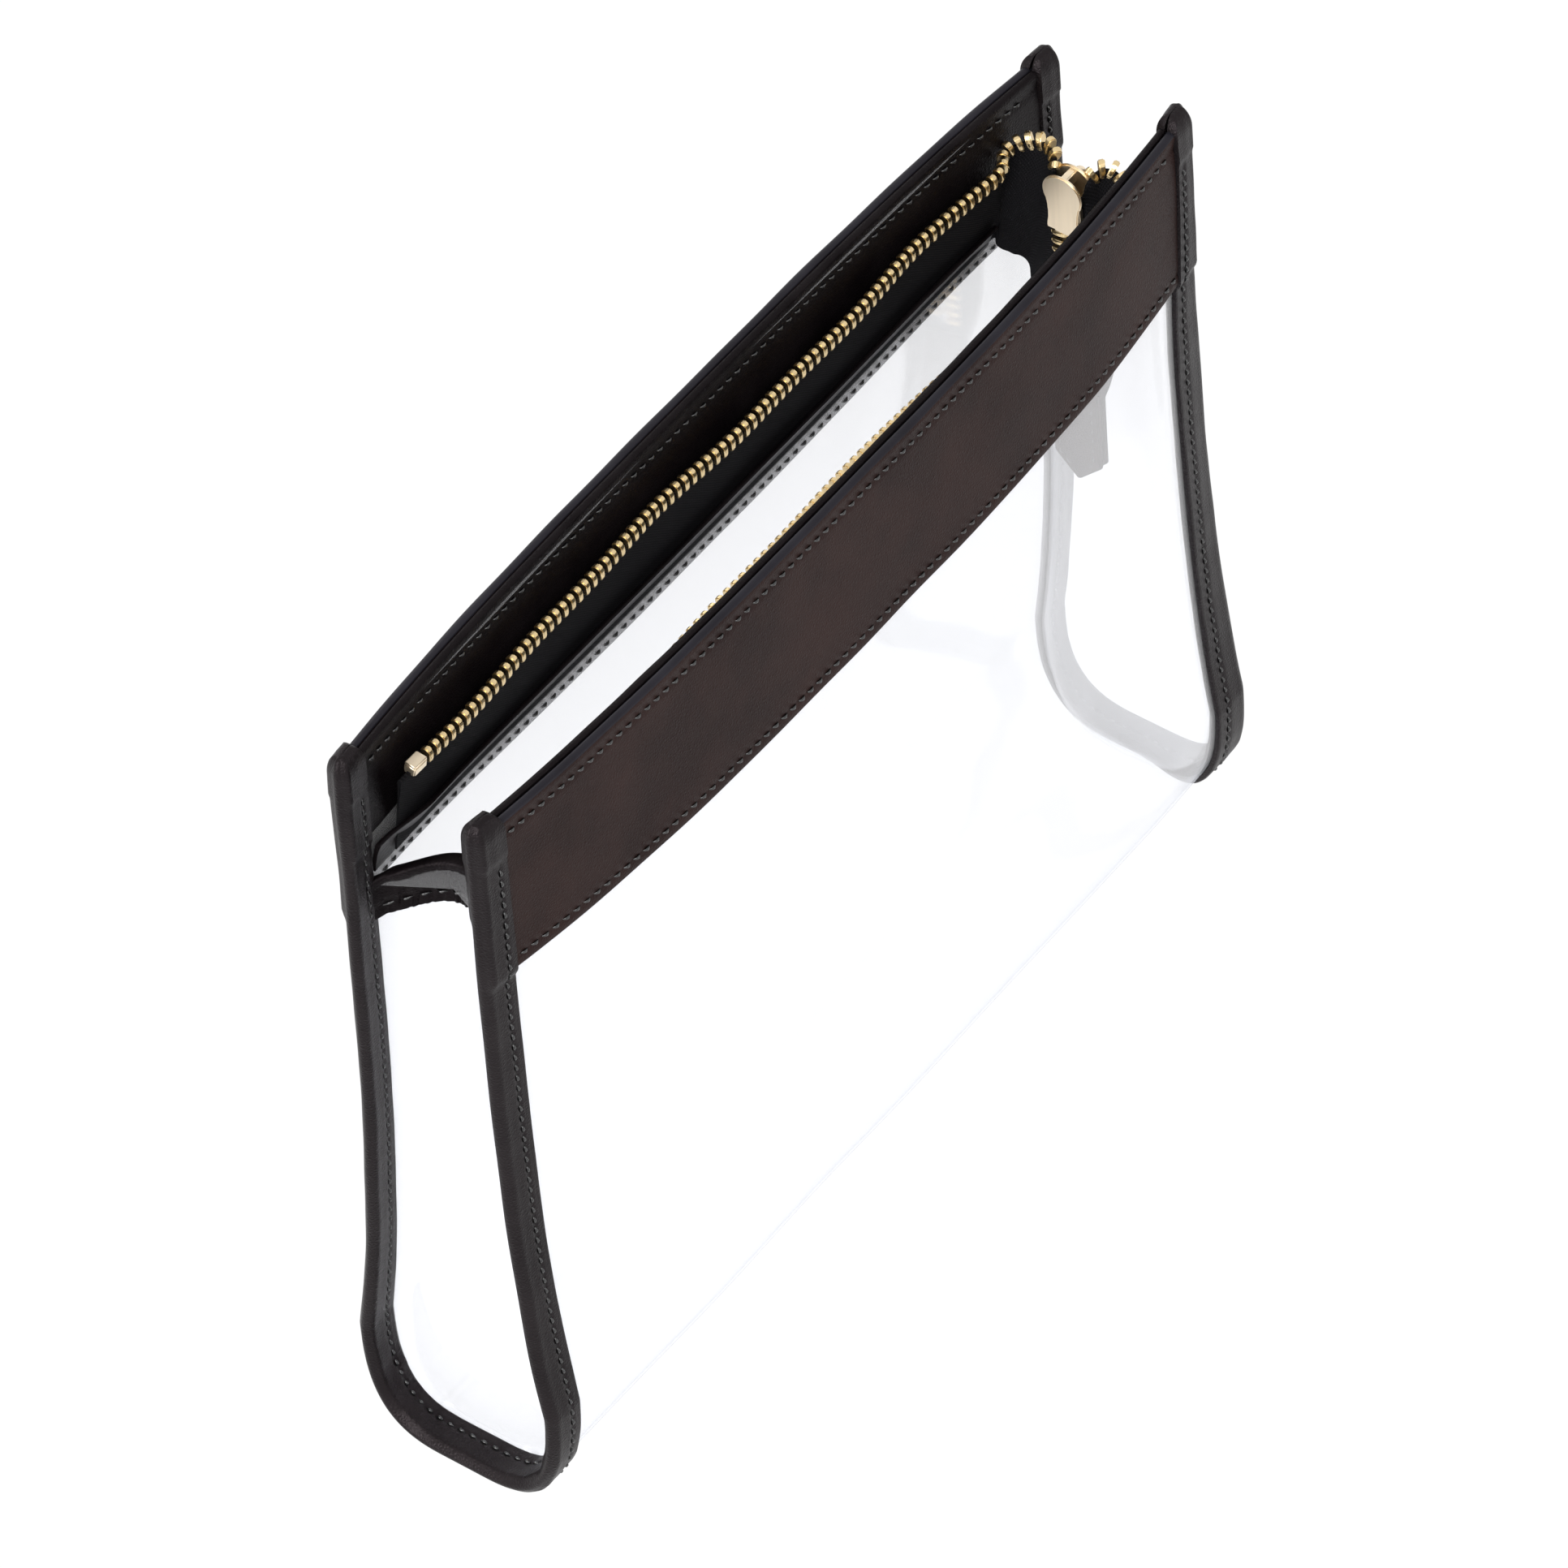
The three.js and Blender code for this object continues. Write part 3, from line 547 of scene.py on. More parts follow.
TIP = 3.0                       # rise of a binding's end above the mouth edge
FLAP = 9.5                      # length of the part folded over at each end
SEAM = 6.8                      # fold to seam
FOLD_THICK = 1.5                # half thickness of a binding on the bare sheet
INSIDE_LIFT = 0.8               # rise of its inner leaf over the facing's end


def binding_loop():
    """Outline of the folded strip: a from the fold inwards, b out from the sheet."""
    thick = FOLD_THICK
    faces = list(np.linspace(2.2, BINDING_WIDTH - 0.5, 22))
    loop = [(a, thick) for a in faces]
    loop += [(BINDING_WIDTH - 0.12, thick - 0.18), (BINDING_WIDTH, thick - 0.6), (BINDING_WIDTH, 0.4)]
    loop += [(3.0, 0.4), (3.0, -0.4)]
    loop += [(BINDING_WIDTH, -0.4), (BINDING_WIDTH, -thick + 0.6), (BINDING_WIDTH - 0.12, -thick + 0.18)]
    loop += [(a, -thick) for a in faces[::-1]]
    for angle in np.linspace(-90, 90, 15)[1:-1]:
        turn = math.radians(angle)
        loop.append((2.2 - 2.2 * math.cos(turn), thick * math.sin(turn)))
    return loop


def binding_width(end, walk):
    """The right binding is pulled narrow at the mouth and lies wider on the front; the left one is even."""
    down = min(walk, WALK - walk)
    if end < 0:
        return 8.2 + 0.8 * smooth(down, 120, 170)
    return 7.4 + (0.8 + 3.4 * smooth(walk, HALF_WALK, HALF_WALK + 20)) * smooth(down, 6, 70)


def seam_height(walk, face):
    """How far off the sheet a binding's seam lies: higher over a band or a facing, and at the base."""
    down = min(walk, WALK - walk)
    if face > 0:
        over = 1.15 * (1 - smooth(down, BAND_HEIGHT - 0.5, BAND_HEIGHT + 2.5))
    else:
        over = INSIDE_LIFT * (1 - smooth(down, FACING_HEIGHT, FACING_HEIGHT + 3))
    return FOLD_THICK + over + 0.35 * smooth(down, HALF_WALK - 50, HALF_WALK - 8) - 0.1


def seam_reach(end, walk):
    return SEAM / BINDING_WIDTH * binding_width(end, walk)


def build_binding(end, word):
    low, high = -TIP, WALK + TIP

    def place(a, out, walk):
        down = min(walk, WALK - walk)
        side = np.sign(out)
        roll = 0.28 * np.exp(-((a - 1.6) / 1.8) ** 2)
        groove = 0.34 * np.exp(-((a - SEAM) / 0.55) ** 2) * smooth(down, FLAP - 1, FLAP + 2)
        puff = 0.22 * np.exp(-((a - 5.2) / 2.2) ** 2)
        corner = np.exp(-((down - (HALF_WALK - 22)) / 12.0) ** 2)
        crease = corner * 0.42 * ripple(a * 0.5, walk, 7, 2 + end) * np.where(out < 0, 1.0, 0.35)
        wobble = 0.16 * ripple(a, walk, 26, 7 + end)
        flap = 0.4 * (1 - smooth(down, FLAP - 1.2, FLAP))
        face = smooth(np.abs(out), 1.0, 1.6)
        over = 1.15 * (1 - smooth(down, BAND_HEIGHT - 0.5, BAND_HEIGHT + 2.5)) * (out > 0)
        over = over + INSIDE_LIFT * (1 - smooth(down, FACING_HEIGHT, FACING_HEIGHT + 3)) * (out < 0)
        base = 0.35 * smooth(down, HALF_WALK - 50, HALF_WALK - 8)
        swollen = out + side * face * (roll + puff - groove + crease + wobble + flap + over + base)
        tip = np.clip((down + TIP) / 5.0, 0, 1)
        round_tip = math.sqrt(max(1 - (1 - tip) ** 2, 0.0))
        full = binding_width(end, walk)
        width = full * (1 - 0.6 * (1 - round_tip))
        reach = a / BINDING_WIDTH * width + (full - width) * 0.42
        edge = 0.35 * ripple(walk, 0 * walk, 60, 4 + end)
        x = end * (LENGTH / 2 - reach - edge * smooth(a, 9, 2))
        return on_sheet(x, swollen * (0.12 + 0.88 * round_tip), walk)

    ends = 5.0 * (1 - np.cos(np.linspace(0, math.pi / 2, 12)))
    middle = np.arange(low + 5.0, high - 5.0, 0.9)
    stations = np.concatenate([low + ends[:-1], middle, high - ends[::-1]])
    strip = sweep(f"binding_strip_{word}", binding_loop(), stations, place, BLACK)
    finish_piece(strip, replaces=[f"binding_{word}"])
    start = FLAP + 1.0
    for face, label in ((1, "out"), (-1, "in")):
        thread(f"stitches_binding_{word}_{label}", WALK - 2 * start,
               lambda s, lift, face=face: on_sheet(end * (LENGTH / 2 - seam_reach(end, start + s)),
                                                   face * (seam_height(start + s, face) + lift), start + s),
               THREAD)


# ---- bands ----------------------------------------------------------------------------------

BAND_END = LENGTH / 2 - 5.0
SEAM_TOP = 4.4                  # mouth edge to the upper seam
SEAM_FOOT = BAND_HEIGHT - 3.0   # mouth edge to the lower seam


def seam_dip(down, at):
    return 0.3 * np.exp(-((down - at) / 0.6) ** 2)


def build_band(side, word):
    base = UNDER
    top = UNDER + LEATHER
    loop = slab_loop(0, BAND_HEIGHT, base, top, 0.62, 0.8)

    def place(down, out, x):
        outer = smooth(out, base + 0.4, top - 0.1)
        inner = 1 - outer
        lip = 0.34 * np.exp(-((down - 1.3) / 1.1) ** 2)
        soft = 0.14 * ripple(x, down, 38, 11 + side)
        lifted = out + outer * (lip + soft - seam_dip(down, SEAM_TOP) - seam_dip(down, SEAM_FOOT))
        lifted = lifted - inner * 0.45 * (1 - smooth(down, 1.5, 4.0))
        return on_wall(side, x + 0 * down, lifted, down + 0.12 * ripple(x + 0 * down, 0 * down, 45, 5 + side))

    band = sweep(f"band_{word}", loop, np.linspace(-BAND_END, BAND_END, 260), place, BROWN)
    band.data.materials.append(EDGE)
    lip_height = HEIGHT - 0.75
    for face in band.data.polygons:
        if face.center.z / MM > lip_height:
            face.material_index = 1
    finish_piece(band, replaces=[f"outer_band_{word}"])
    for at, label in ((SEAM_TOP, "top"), (SEAM_FOOT, "foot")):
        thread(f"stitches_band_{word}_{label}", 2 * BAND_END - 8,
               lambda s, lift, at=at: on_wall(side, s - BAND_END + 4, top - 0.12 + lift, at), THREAD)
    thread(f"stitches_band_{word}_inside", 2 * BAND_END - 8,
           lambda s, lift: on_wall(side, s - BAND_END + 4, -SHEET / 2 - lift, SEAM_FOOT), THREAD)


def build_facing(side, word):
    face = -UNDER - FACING
    loop = slab_loop(0, FACING_HEIGHT, face, -UNDER, 0.5, 1.0)
    reach = GUSSET_PLANE + 4.0

    def place(down, out, x):
        inner = 1 - smooth(out, face + 0.1, -UNDER - 0.3)
        lifted = out - inner * (0.25 * np.exp(-((down - 1.2) / 1.0) ** 2) - seam_dip(down, SEAM_TOP))
        lifted = lifted + (1 - inner) * 0.5 * (1 - smooth(down, 1.5, 4.0))
        lifted = lifted - inner * 0.12 * ripple(x, down, 30, 21 + side)
        return on_wall(side, x + 0 * down, lifted, down)

    facing = sweep(f"facing_{word}", loop, np.linspace(-reach, reach, 200), place, INNER_SHADED)
    finish_piece(facing, replaces=[f"inner_facing_{word}"])
    thread(f"stitches_facing_{word}", 2 * reach - 6,
           lambda s, lift: on_wall(side, s - reach + 3, face + 0.12 - lift, SEAM_TOP), THREAD)


# ---- zip ------------------------------------------------------------------------------------

CHAIN_DROP = 13
TAPE_FOOT = 34
CHAIN_LEAN = 3.2
TAPE_OUT = -UNDER - FACING - GAP - 0.3
TAPE_THICK = 0.45
TAIL_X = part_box("slider")[0][0] / MM + 2.6
TAIL_HALF = 11
CLOSED_HALF = 2.4
TURN_START = TAIL_X - 6
TAPE_START = 15 - LENGTH / 2
CHAIN_INSET = 8                 # from the tape's end to the first bead
SLIDER_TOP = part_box("slider")[1][2] / MM
SLIDER_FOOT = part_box("slider")[0][2] / MM
TAB_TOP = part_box("tail_tab_inner")[1][2] / MM
TAB_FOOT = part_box("tail_tab_inner")[0][2] / MM
TAIL_FOOT = TAB_TOP - 6


def curve_through(points, steps):
    """A smooth curve through points: centripetal Catmull-Rom, sampled evenly in its own parameter."""
    points = [2 * points[0] - points[1]] + list(points) + [2 * points[-1] - points[-2]]
    result = []
    for i in range(1, len(points) - 2):
        p = points[i - 1:i + 3]
        t = [0.0]
        for a, b in zip(p, p[1:]):
            t.append(t[-1] + max(np.linalg.norm(b - a), 1e-4) ** 0.5)
        for s in np.linspace(t[1], t[2], steps, endpoint=False):
            a1, a2, a3 = [((t[j + 1] - s) * p[j] + (s - t[j]) * p[j + 1]) / (t[j + 1] - t[j])
                          for j in range(3)]
            b1 = ((t[2] - s) * a1 + (s - t[0]) * a2) / (t[2] - t[0])
            b2 = ((t[3] - s) * a2 + (s - t[1]) * a3) / (t[3] - t[1])
            result.append(((t[2] - s) * b1 + (s - t[1]) * b2) / (t[2] - t[1]))
    result.append(np.array(points[-2], float))
    return np.array(result)


def rails(side):
    """Matching curves on the tape's free edge and its sewn edge, both as if for the back half."""
    free, sewn = [], []
    for x in np.linspace(TAPE_START, TURN_START, 22):
        calm = 1 - smooth(x, TURN_START - 34, TURN_START)
        wave = (0.9 * math.sin(x / 17.0) + 0.5 * math.sin(x / 7.3 + 1)) * calm
        flop = math.exp(-((x + 8) / 62.0) ** 4) if side < 0 else 0.0
        lean = TAPE_OUT - CHAIN_LEAN - 0.5 * wave - 1.6 * flop
        free.append(on_wall(side, x, lean, CHAIN_DROP + 0.35 * wave - 3.9 * flop) * (1, side, 1))
        sewn.append(on_wall(side, x, TAPE_OUT, TAPE_FOOT) * (1, side, 1))
    foot = HEIGHT - TAPE_FOOT

    def at(points, dx, y, z):
        points.append(np.array([TAIL_X + dx, y, z]))

    turn = [(-1.5, 15.2, -1.3), (2.2, 14.0, -0.6), (4.2, 11.0, 0.1),
            (4.4, 8.0, 0.3), (3.0, 5.3, -0.4), (1.0, 4.1, -2.0)]
    if side < 0:
        turn = [(-1.5, 14.4, -4.2), (2.6, 13.2, -3.6), (5.6, 10.4, -2.0),
                (6.2, 7.6, -0.6), (4.4, 5.2, -0.2), (1.4, 4.1, -1.8)]
    below = [(-6.5, 14.6, foot - 1), (-6.0, 13.8, foot - 2), (-5.0, 13.0, foot - 3), (-3.8, 12.4, foot - 4.5),
             (-2.2, 12.0, foot - 6), (-0.8, 11.6, foot - 8)]
    for (dx, y, dz), low in zip(turn, below):
        at(free, dx, y, SLIDER_TOP + dz)
        at(sewn, *low)
    at(free, 0, 3.6, SLIDER_TOP - 4.5)
    at(sewn, 0, TAIL_HALF + 0.3, foot - 10)
    at(free, 0, CLOSED_HALF + 0.3, SLIDER_FOOT + 8.5)
    at(sewn, 0, TAIL_HALF + 0.1, foot - 13)
    level = SLIDER_FOOT - 4
    for share in (0, 0.33, 0.66, 1):
        narrow = share * share * (TAIL_HALF - 5)
        at(free, 0, CLOSED_HALF, level + share * (TAIL_FOOT - level))
        at(sewn, 0, TAIL_HALF - narrow, level - 20 + share * (TAIL_FOOT - level + 20))
    return curve_through(free, 14), curve_through(sewn, 14)


class Rail:
    """One tape's two edges, with the frame that its beads stand in."""

    def __init__(self, side):
        self.free, self.sewn = rails(side)
        self.mirror = np.array([1.0, float(side), 1.0])
        self.along = np.gradient(self.free, axis=0)
        self.along /= np.linalg.norm(self.along, axis=1)[:, None]
        self.normal = np.cross(self.along, self.free - self.sewn)
        self.normal /= np.linalg.norm(self.normal, axis=1)[:, None]
        self.beads = np.cross(self.normal, self.along)
        steps = np.linalg.norm(np.diff(self.free, axis=0), axis=1)
        self.run = np.concatenate([[0], np.cumsum(steps)])

    def at(self, length):
        tables = (self.free, self.along, self.normal, self.beads)
        return [np.array([np.interp(length, self.run, table[:, i]) for i in range(3)]) for table in tables]


RAIL = {side: Rail(side) for side in (1, -1)}


def build_tape(side, word):
    loop = slab_loop(0, 1, -TAPE_THICK / 2, TAPE_THICK / 2, 0.01, 0.08)
    rail = RAIL[side]

    def place(down, out, index):
        start = rail.free[index] - rail.beads[index] * 0.2
        spots = start + np.outer(down, rail.sewn[index] - start)
        cord = 0.55 * np.exp(-(down * 22 / 0.9) ** 2)
        spots = spots + np.outer(out * (1 + 2.4 * cord), rail.normal[index])
        return spots * rail.mirror

    def uv(down, out, index):
        return (rail.run[index], down * 22)

    tape = sweep(f"tape_{word}", loop, list(range(len(rail.free))), place, TAPE, uv=uv)
    finish_piece(tape, replaces=[f"zipper_tape_{word}"])


def tooth_mesh():
    """One bead with its two legs, clamped over the tape's edge: across, along and up."""
    outline = [(-1.15, -2.7), (-0.7, -2.95), (0.7, -2.95), (1.15, -2.7),
               (1.5, -1.4), (1.55, 0.0), (1.35, 1.1),
               (0.85, 1.9), (0.0, 2.2), (-0.85, 1.9), (-1.35, 1.1), (-1.55, 0.0), (-1.5, -1.4)]
    work = bmesh.new()
    low = [work.verts.new((x, -0.5, z)) for x, z in outline]
    work.faces.new(low)
    grown = bmesh.ops.extrude_face_region(work, geom=list(work.faces))
    far = [v for v in grown["geom"] if isinstance(v, bmesh.types.BMVert)]
    bmesh.ops.translate(work, vec=(0, 1.0, 0), verts=far)
    for vert in work.verts:
        head = max(min((vert.co.z + 0.6) / 1.6, 1), 0)
        vert.co.y *= 1.15 + 0.35 * head
        vert.co.y += 0.28 * (1 - head) * (1 - vert.co.z * 0.15)
    bmesh.ops.bevel(work, geom=list(work.edges), offset=0.26, segments=2, affect="EDGES", clamp_overlap=True)
    bmesh.ops.recalc_face_normals(work, faces=work.faces)
    work.verts.ensure_lookup_table()
    verts = np.array([v.co[:] for v in work.verts])
    faces = [tuple(v.index for v in f.verts) for f in work.faces]
    work.free()
    return verts, faces


def build_teeth(side, word):
    shape, tooth_faces = tooth_mesh()
    rail = RAIL[side]
    last = rail.run[-1] - 7
    count = int((last - CHAIN_INSET) / TOOTH_PITCH)
    verts, faces = [], []
    for index in range(count):
        length = CHAIN_INSET + (index + (0.5 if side > 0 else 0.0)) * TOOTH_PITCH
        point, along, normal, up = rail.at(length)
        inside = abs(point[0] - TAIL_X) < 1 and SLIDER_FOOT + 1 < point[2] < SLIDER_TOP - 1.5
        if inside:
            continue
        turned = np.outer(shape[:, 0] * 0.9, normal) + np.outer(shape[:, 1] * 0.94, along)
        turned = turned + np.outer(shape[:, 2] * 0.82 + 0.25, up)
        base = sum(len(block) for block in verts)
        verts.append((point + turned) * rail.mirror)
        faces += [tuple(base + i for i in face) for face in tooth_faces]
    teeth = new_object(f"teeth_{word}", np.concatenate(verts), faces, TEETH, sharp=60)
    finish_piece(teeth, replaces=[f"zipper_chain_{word}"])


def merge(parts):
    verts, faces = [], []
    base = 0
    for block, block_faces in parts:
        verts.append(block)
        faces += [tuple(base + i for i in f) for f in block_faces]
        base += len(block)
    return np.concatenate(verts), faces


def rounded_block(low, high, radius):
    work = bmesh.new()
    bmesh.ops.create_cube(work, size=1.0)
    size = [b - a for a, b in zip(low, high)]
    for vert in work.verts:
        vert.co = Vector([(c + 0.5) * s + a for c, s, a in zip(vert.co, size, low)])
    bmesh.ops.bevel(work, geom=list(work.edges), offset=radius, segments=3, affect="EDGES")
    verts = np.array([v.co[:] for v in work.verts])
    work.verts.ensure_lookup_table()
    faces = [tuple(v.index for v in f.verts) for f in work.faces]
    work.free()
    return verts, faces


STOP_SCALE = 0.74


def build_stop(side, word):
    """A folded metal box over the end of the row, its lid's edge showing as a line."""
    box = rounded_block((-6.3, -1.75, -1.3), (-0.4, 1.75, 1.6), 0.3)
    lid = rounded_block((-6.1, -1.9, 1.45), (-0.6, 1.9, 2.3), 0.28)
    flanks = [rounded_block((-6.0, low, -1.0), (-0.8, high, 1.2), 0.12)
              for low, high in ((-1.95, -1.6), (1.6, 1.95))]
    shape, faces = merge([box, lid] + flanks)
    shape = shape * STOP_SCALE
    point, along, normal, up = RAIL[side].at(CHAIN_INSET)
    turned = np.outer(shape[:, 0], along) + np.outer(shape[:, 1], normal) + np.outer(shape[:, 2], up)
    stop = new_object(f"stop_{word}", (point + turned) * RAIL[side].mirror, faces, PLATE, sharp=50)
    finish_piece(stop, replaces=[f"zipper_stop_{word}"])


def build_cover(side, word):
    """The strip sewn over the tape's foot, with a raised, slightly wavy upper edge."""
    top, foot = 27, 35.5
    length = foot - top
    loop = slab_loop(0, length, -1.0, 0.0, 0.45, 0.9)
    first, last = -(GUSSET_PLANE + 1.8), TURN_START - 2

    def place(down, out, x):
        share = down / length
        wave = 0.55 * math.sin(x / 23.0 + 0.6) + 0.4 * math.sin(x / 9.0)
        start = smooth(np.array(x), first, first + 16)
        lift = (TAPE_OUT - 2.3 - 0.5 * wave) * (1 - share) ** 1.4 + (-UNDER - 0.1) * (1 - (1 - share) ** 1.4)
        lift = lift * (0.45 + 0.55 * start)
        roll = 0.35 * np.exp(-(down / 1.3) ** 2)
        return on_wall(side, x + 0 * down, lift + out * (1 + roll), top + down - 0.8 * wave * (1 - share))

    cover = sweep(f"cover_{word}", loop, np.linspace(first, last, 180), place, INNER_SHADED)
    finish_piece(cover, replaces=[f"tape_cover_{word}"])


# ---- slider, pull and tail tab --------------------------------------------------------------

def plate_mesh(outline, low, high, radius, hole=None):
    """A flat plate in the YZ plane with bevelled rims; outline and hole are lists of (y, z)."""
    work = bmesh.new()
    loops = [outline] + ([hole] if hole else [])
    edges = []
    for points in loops:
        ring = [work.verts.new((low, y, z)) for y, z in points]
        edges += [work.edges.new((a, b)) for a, b in zip(ring, ring[1:] + ring[:1])]
    bmesh.ops.triangle_fill(work, use_beauty=True, use_dissolve=True, edges=edges)
    grown = bmesh.ops.extrude_face_region(work, geom=list(work.faces))
    far = [v for v in grown["geom"] if isinstance(v, bmesh.types.BMVert)]
    bmesh.ops.translate(work, vec=(high - low, 0, 0), verts=far)
    bmesh.ops.recalc_face_normals(work, faces=work.faces)
    rims = [e for e in work.edges if len(e.link_faces) == 2 and e.calc_face_angle(0) > math.radians(50)]
    bmesh.ops.bevel(work, geom=rims, offset=radius, segments=2, affect="EDGES", clamp_overlap=True)
    verts = np.array([v.co[:] for v in work.verts])
    work.verts.ensure_lookup_table()
    faces = [tuple(v.index for v in f.verts) for f in work.faces]
    work.free()
    return verts, faces


def arc(centre, radius, start, end, steps):
    return [(centre[0] + radius * math.cos(math.radians(a)), centre[1] + radius * math.sin(math.radians(a)))
            for a in np.linspace(start, end, steps)]


def shield(scale=1.0, foot=0.0):
    """The slider plate's outline: round above, drawn in a little below that, and straight to the foot."""
    wide, narrow = 5.0 * scale, 4.2 * scale
    right = arc((0, SLIDER_TOP - 5.1), wide, 90, -30, 18)
    right += [(narrow - 0.2, SLIDER_FOOT + 6.6), (narrow - 0.35, SLIDER_FOOT + 4.6),
              (narrow - 0.3, SLIDER_FOOT + 2.8), (narrow - 0.05, SLIDER_FOOT + 1.2), (narrow, SLIDER_FOOT + foot)]
    return right + [(-y, z) for y, z in right[::-1][:-1]]


def build_slider():
    inner, outer = 1.8, 2.65
    low = (TAIL_X - inner - 0.2, -0.9, SLIDER_TOP - 4)
    high = (TAIL_X + inner + 0.2, 0.9, SLIDER_TOP - 1)
    post = rounded_block(low, high, 0.25)
    parts = [plate_mesh(shield(), TAIL_X - outer, TAIL_X - inner, 0.28),
             plate_mesh(shield(0.98, 0.4), TAIL_X + inner, TAIL_X + outer, 0.28), post]
    for side in (-1, 1):
        for face in (-1, 1):
            ys = sorted((side * 3.35, side * 4.1))
            xs = sorted((face * 0.7, face * (inner + 0.2)))
            low = (TAIL_X + xs[0], ys[0], SLIDER_FOOT + 0.3)
            high = (TAIL_X + xs[1], ys[1], SLIDER_FOOT + 8)
            parts.append(rounded_block(low, high, 0.16))
    low = (TAIL_X - inner - 0.3, -2.6, SLIDER_FOOT - 0.9)
    high = (TAIL_X - inner + 0.2, 2.6, SLIDER_FOOT + 1.0)
    parts.append(rounded_block(low, high, 0.2))
    slider = new_object("slider_body", *merge(parts), PLATE, sharp=45)
    finish_piece(slider, body="slider", replaces=["slider"])
    top, foot = SLIDER_TOP - 2, SLIDER_TOP - 13
    spine = [(outer - 0.3, foot + 0.5), (outer + 1.5, foot + 0.5), (outer + 2.6, foot + 1.4),
             (outer + 2.65, foot + 5.5), (outer + 2.6, top - 1.4), (outer + 1.5, top - 0.5),
             (outer - 0.3, top - 0.5)]
    points = curve_through([np.array([TAIL_X + x, 0.0, z]) for x, z in spine], 6)
    loop = [(0.42 * math.cos(a), 0.8 * math.sin(a)) for a in np.linspace(0, 2 * math.pi, 13)[:-1]]
    tangents = np.gradient(points, axis=0)

    def place(a, b, index):
        along = tangents[index] / np.linalg.norm(tangents[index])
        across = np.array([0.0, 1.0, 0.0])
        up = np.cross(along, across)
        return points[index] + np.outer(a, up) + np.outer(b, across)

    bridge = sweep("slider_bridge", loop, list(range(len(points))), place, PLATE)
    finish_piece(bridge, body="slider")


def build_pull():
    low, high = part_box("pull_tab")
    middle = (low[0] + high[0]) / 2 / MM
    top, foot = high[2] / MM, low[2] / MM
    half = 3.0
    outline = arc((half - 0.8, top - 0.8), 0.8, 0, 90, 4)[::-1] + arc((0, foot + half), half, 0, -180, 14)
    outline += arc((-half + 0.8, top - 0.8), 0.8, 180, 90, 4)
    hole = arc((0, top - 10.2), 1.9, 0, -180, 8) + [(-1.9, top - 1.2), (1.9, top - 1.2)]
    plate = plate_mesh(outline, middle - 0.6, middle + 0.6, 0.3, hole)
    pull = new_object("pull_tab_plate", *plate, PLATE, sharp=45)
    finish_piece(pull, body="pull", replaces=["pull_tab"])


def build_tail_tab():
    half, point = 6.0, 6.0
    shoulder = TAB_FOOT + point
    outline = [(-half, TAB_TOP), (-half, shoulder), (0, TAB_FOOT), (half, shoulder), (half, TAB_TOP)]
    for word, low, high in (("inner", -1.7, -0.35), ("outer", 0.35, 1.7)):
        plate = plate_mesh(outline, TAIL_X + low, TAIL_X + high, 0.35)
        leaf = new_object(f"tab_leaf_{word}", *plate, BROWN, sharp=50)
        finish_piece(leaf, replaces=[f"tail_tab_{word}"])
    inset, top, knee = half - 1.6, TAB_TOP - 1.6, shoulder + 0.7
    corners = np.array([(-inset, top), (-inset, knee), (0, TAB_FOOT + 2.2), (inset, knee),
                        (inset, top), (-inset, top)])
    run = np.concatenate([[0], np.cumsum(np.linalg.norm(np.diff(corners, axis=0), axis=1))])
    for word, face in (("inner", -1), ("outer", 1)):
        def seam(s, lift, face=face):
            y, z = np.interp(s, run, corners[:, 0]), np.interp(s, run, corners[:, 1])
            return np.array([TAIL_X + face * (1.62 + lift), y, z])

        thread(f"stitches_tab_{word}", run[-1] - 0.5, seam, THREAD, pitch=2.8, radius=0.2)


# ---- stage, light and camera ----------------------------------------------------------------

def build_stage():
    bpy.ops.mesh.primitive_plane_add(size=8.0, location=(0, 0, -0.0006))
    floor = bpy.context.object
    floor.name = "floor"
    material, nodes, links, shader = new_material("white_floor")
    shader.inputs["Base Color"].default_value = (0.8, 0.8, 0.8, 1)
    shader.inputs["Roughness"].default_value = 0.9
    glow = nodes.new("ShaderNodeEmission")
    glow.inputs["Color"].default_value = (1, 1, 1, 1)
    glow.inputs["Strength"].default_value = 1.02
    mix = nodes.new("ShaderNodeMixShader")
    mix.inputs["Fac"].default_value = 0.97
    links.new(shader.outputs["BSDF"], mix.inputs[1])
    links.new(glow.outputs["Emission"], mix.inputs[2])
    links.new(mix.outputs["Shader"], nodes["Material Output"].inputs["Surface"])
    floor.data.materials.append(material)


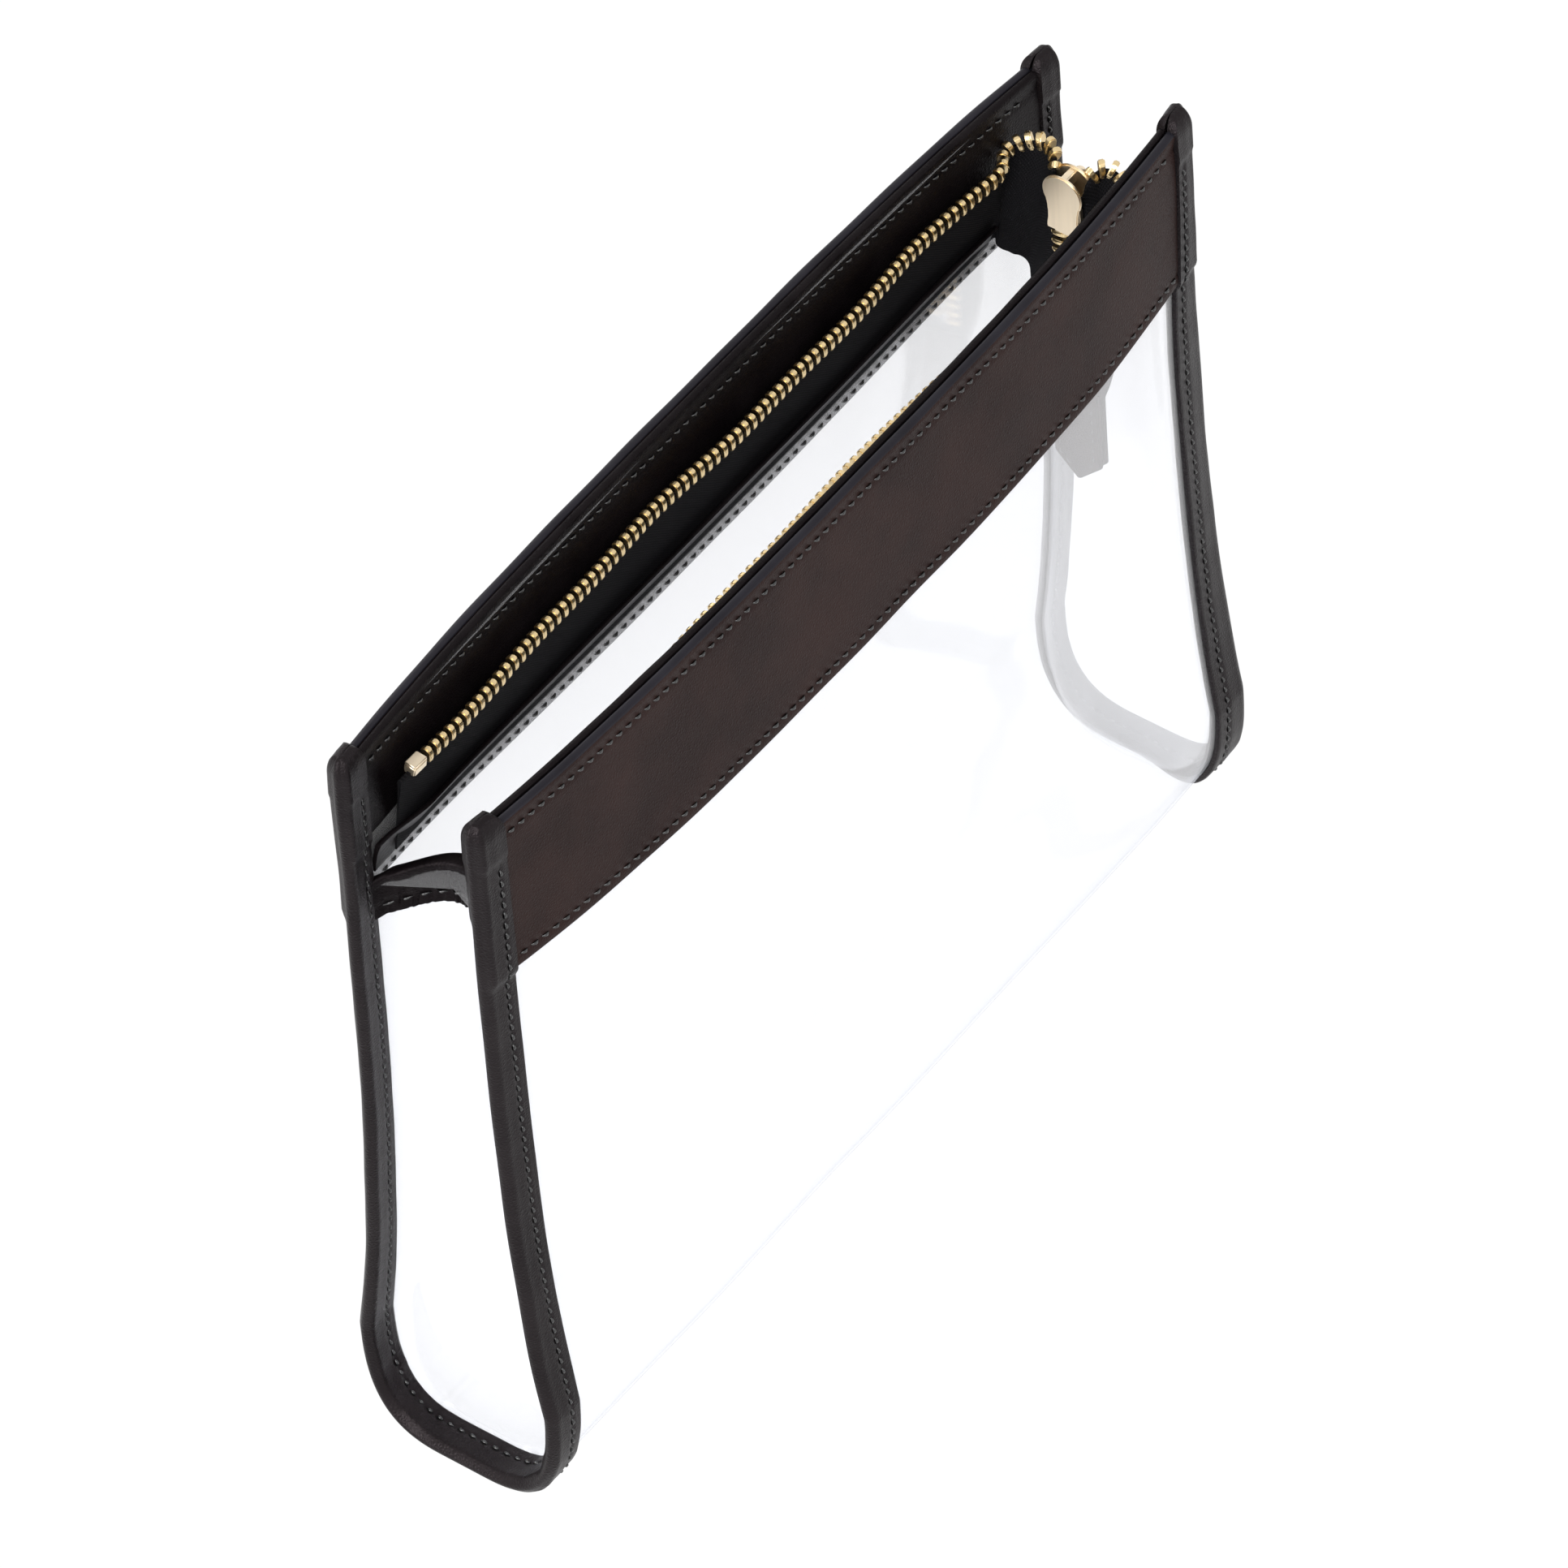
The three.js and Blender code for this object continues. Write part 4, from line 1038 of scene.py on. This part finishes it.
def area_light(name, place, aim, size, power, colour=(1, 1, 1)):
    data = bpy.data.lights.new(name, "AREA")
    data.shape = "RECTANGLE"
    data.size, data.size_y = size
    data.energy = power
    data.color = colour
    light = bpy.data.objects.new(name, data)
    light.location = place
    light.rotation_euler = (Vector(aim) - Vector(place)).to_track_quat("-Z", "Y").to_euler()
    light.visible_camera = False
    bpy.context.collection.objects.link(light)


def build_light():
    world = bpy.data.worlds.new("white_room")
    bpy.context.scene.world = world
    world.use_nodes = True
    background = world.node_tree.nodes["Background"]
    background.inputs["Color"].default_value = (1, 1, 1, 1)
    background.inputs["Strength"].default_value = 1.0
    area_light("key", (-1.2, -0.6, 1.3), (0, 0, 0.1), (0.9, 0.9), 14)
    area_light("left", (-1.5, 0.1, 0.45), (0, 0, 0.1), (0.7, 0.7), 14)
    area_light("front", (0.4, -1.6, 0.7), (0, 0, 0.1), (0.8, 0.5), 2.5)
    area_light("back", (0.3, 1.4, 1.2), (0, 0, 0.15), (0.8, 0.4), 6)


AZIMUTH, ELEVATION, ROLL = -50.95, 46.31, -4.44          # degrees
DISTANCE, LENS = 2.671, 284.2
TARGET = (0.0352, 0.0316, 0.0471)


def build_camera():
    data = bpy.data.cameras.new("camera")
    data.lens = LENS
    data.sensor_width = 36
    data.clip_end = 50
    camera = bpy.data.objects.new("camera", data)
    around, up = math.radians(AZIMUTH), math.radians(ELEVATION)
    toward = Vector((math.sin(around) * math.cos(up), -math.cos(around) * math.cos(up), math.sin(up)))
    camera.location = Vector(TARGET) + DISTANCE * toward
    turn = (-toward).to_track_quat("-Z", "Y") @ Matrix.Rotation(math.radians(ROLL), 3, "Z").to_quaternion()
    camera.rotation_euler = turn.to_euler()
    bpy.context.collection.objects.link(camera)
    bpy.context.scene.camera = camera


# ---- assembly -------------------------------------------------------------------------------

build_camera()
build_sheet()
for end, word in ((-1, "left"), (1, "right")):
    build_gusset(end, word)
    build_cap(end, word)
    build_binding(end, word)
for side, word in ((-1, "front"), (1, "back")):
    build_band(side, word)
    build_facing(side, word)
    build_cover(side, word)
    build_tape(side, word)
    build_teeth(side, word)
    build_stop(side, word)
build_slider()
build_pull()
build_tail_tab()
build_stage()
build_light()

view_settings = bpy.context.scene.view_settings
view_settings.view_transform = "Standard"
view_settings.look = "None"
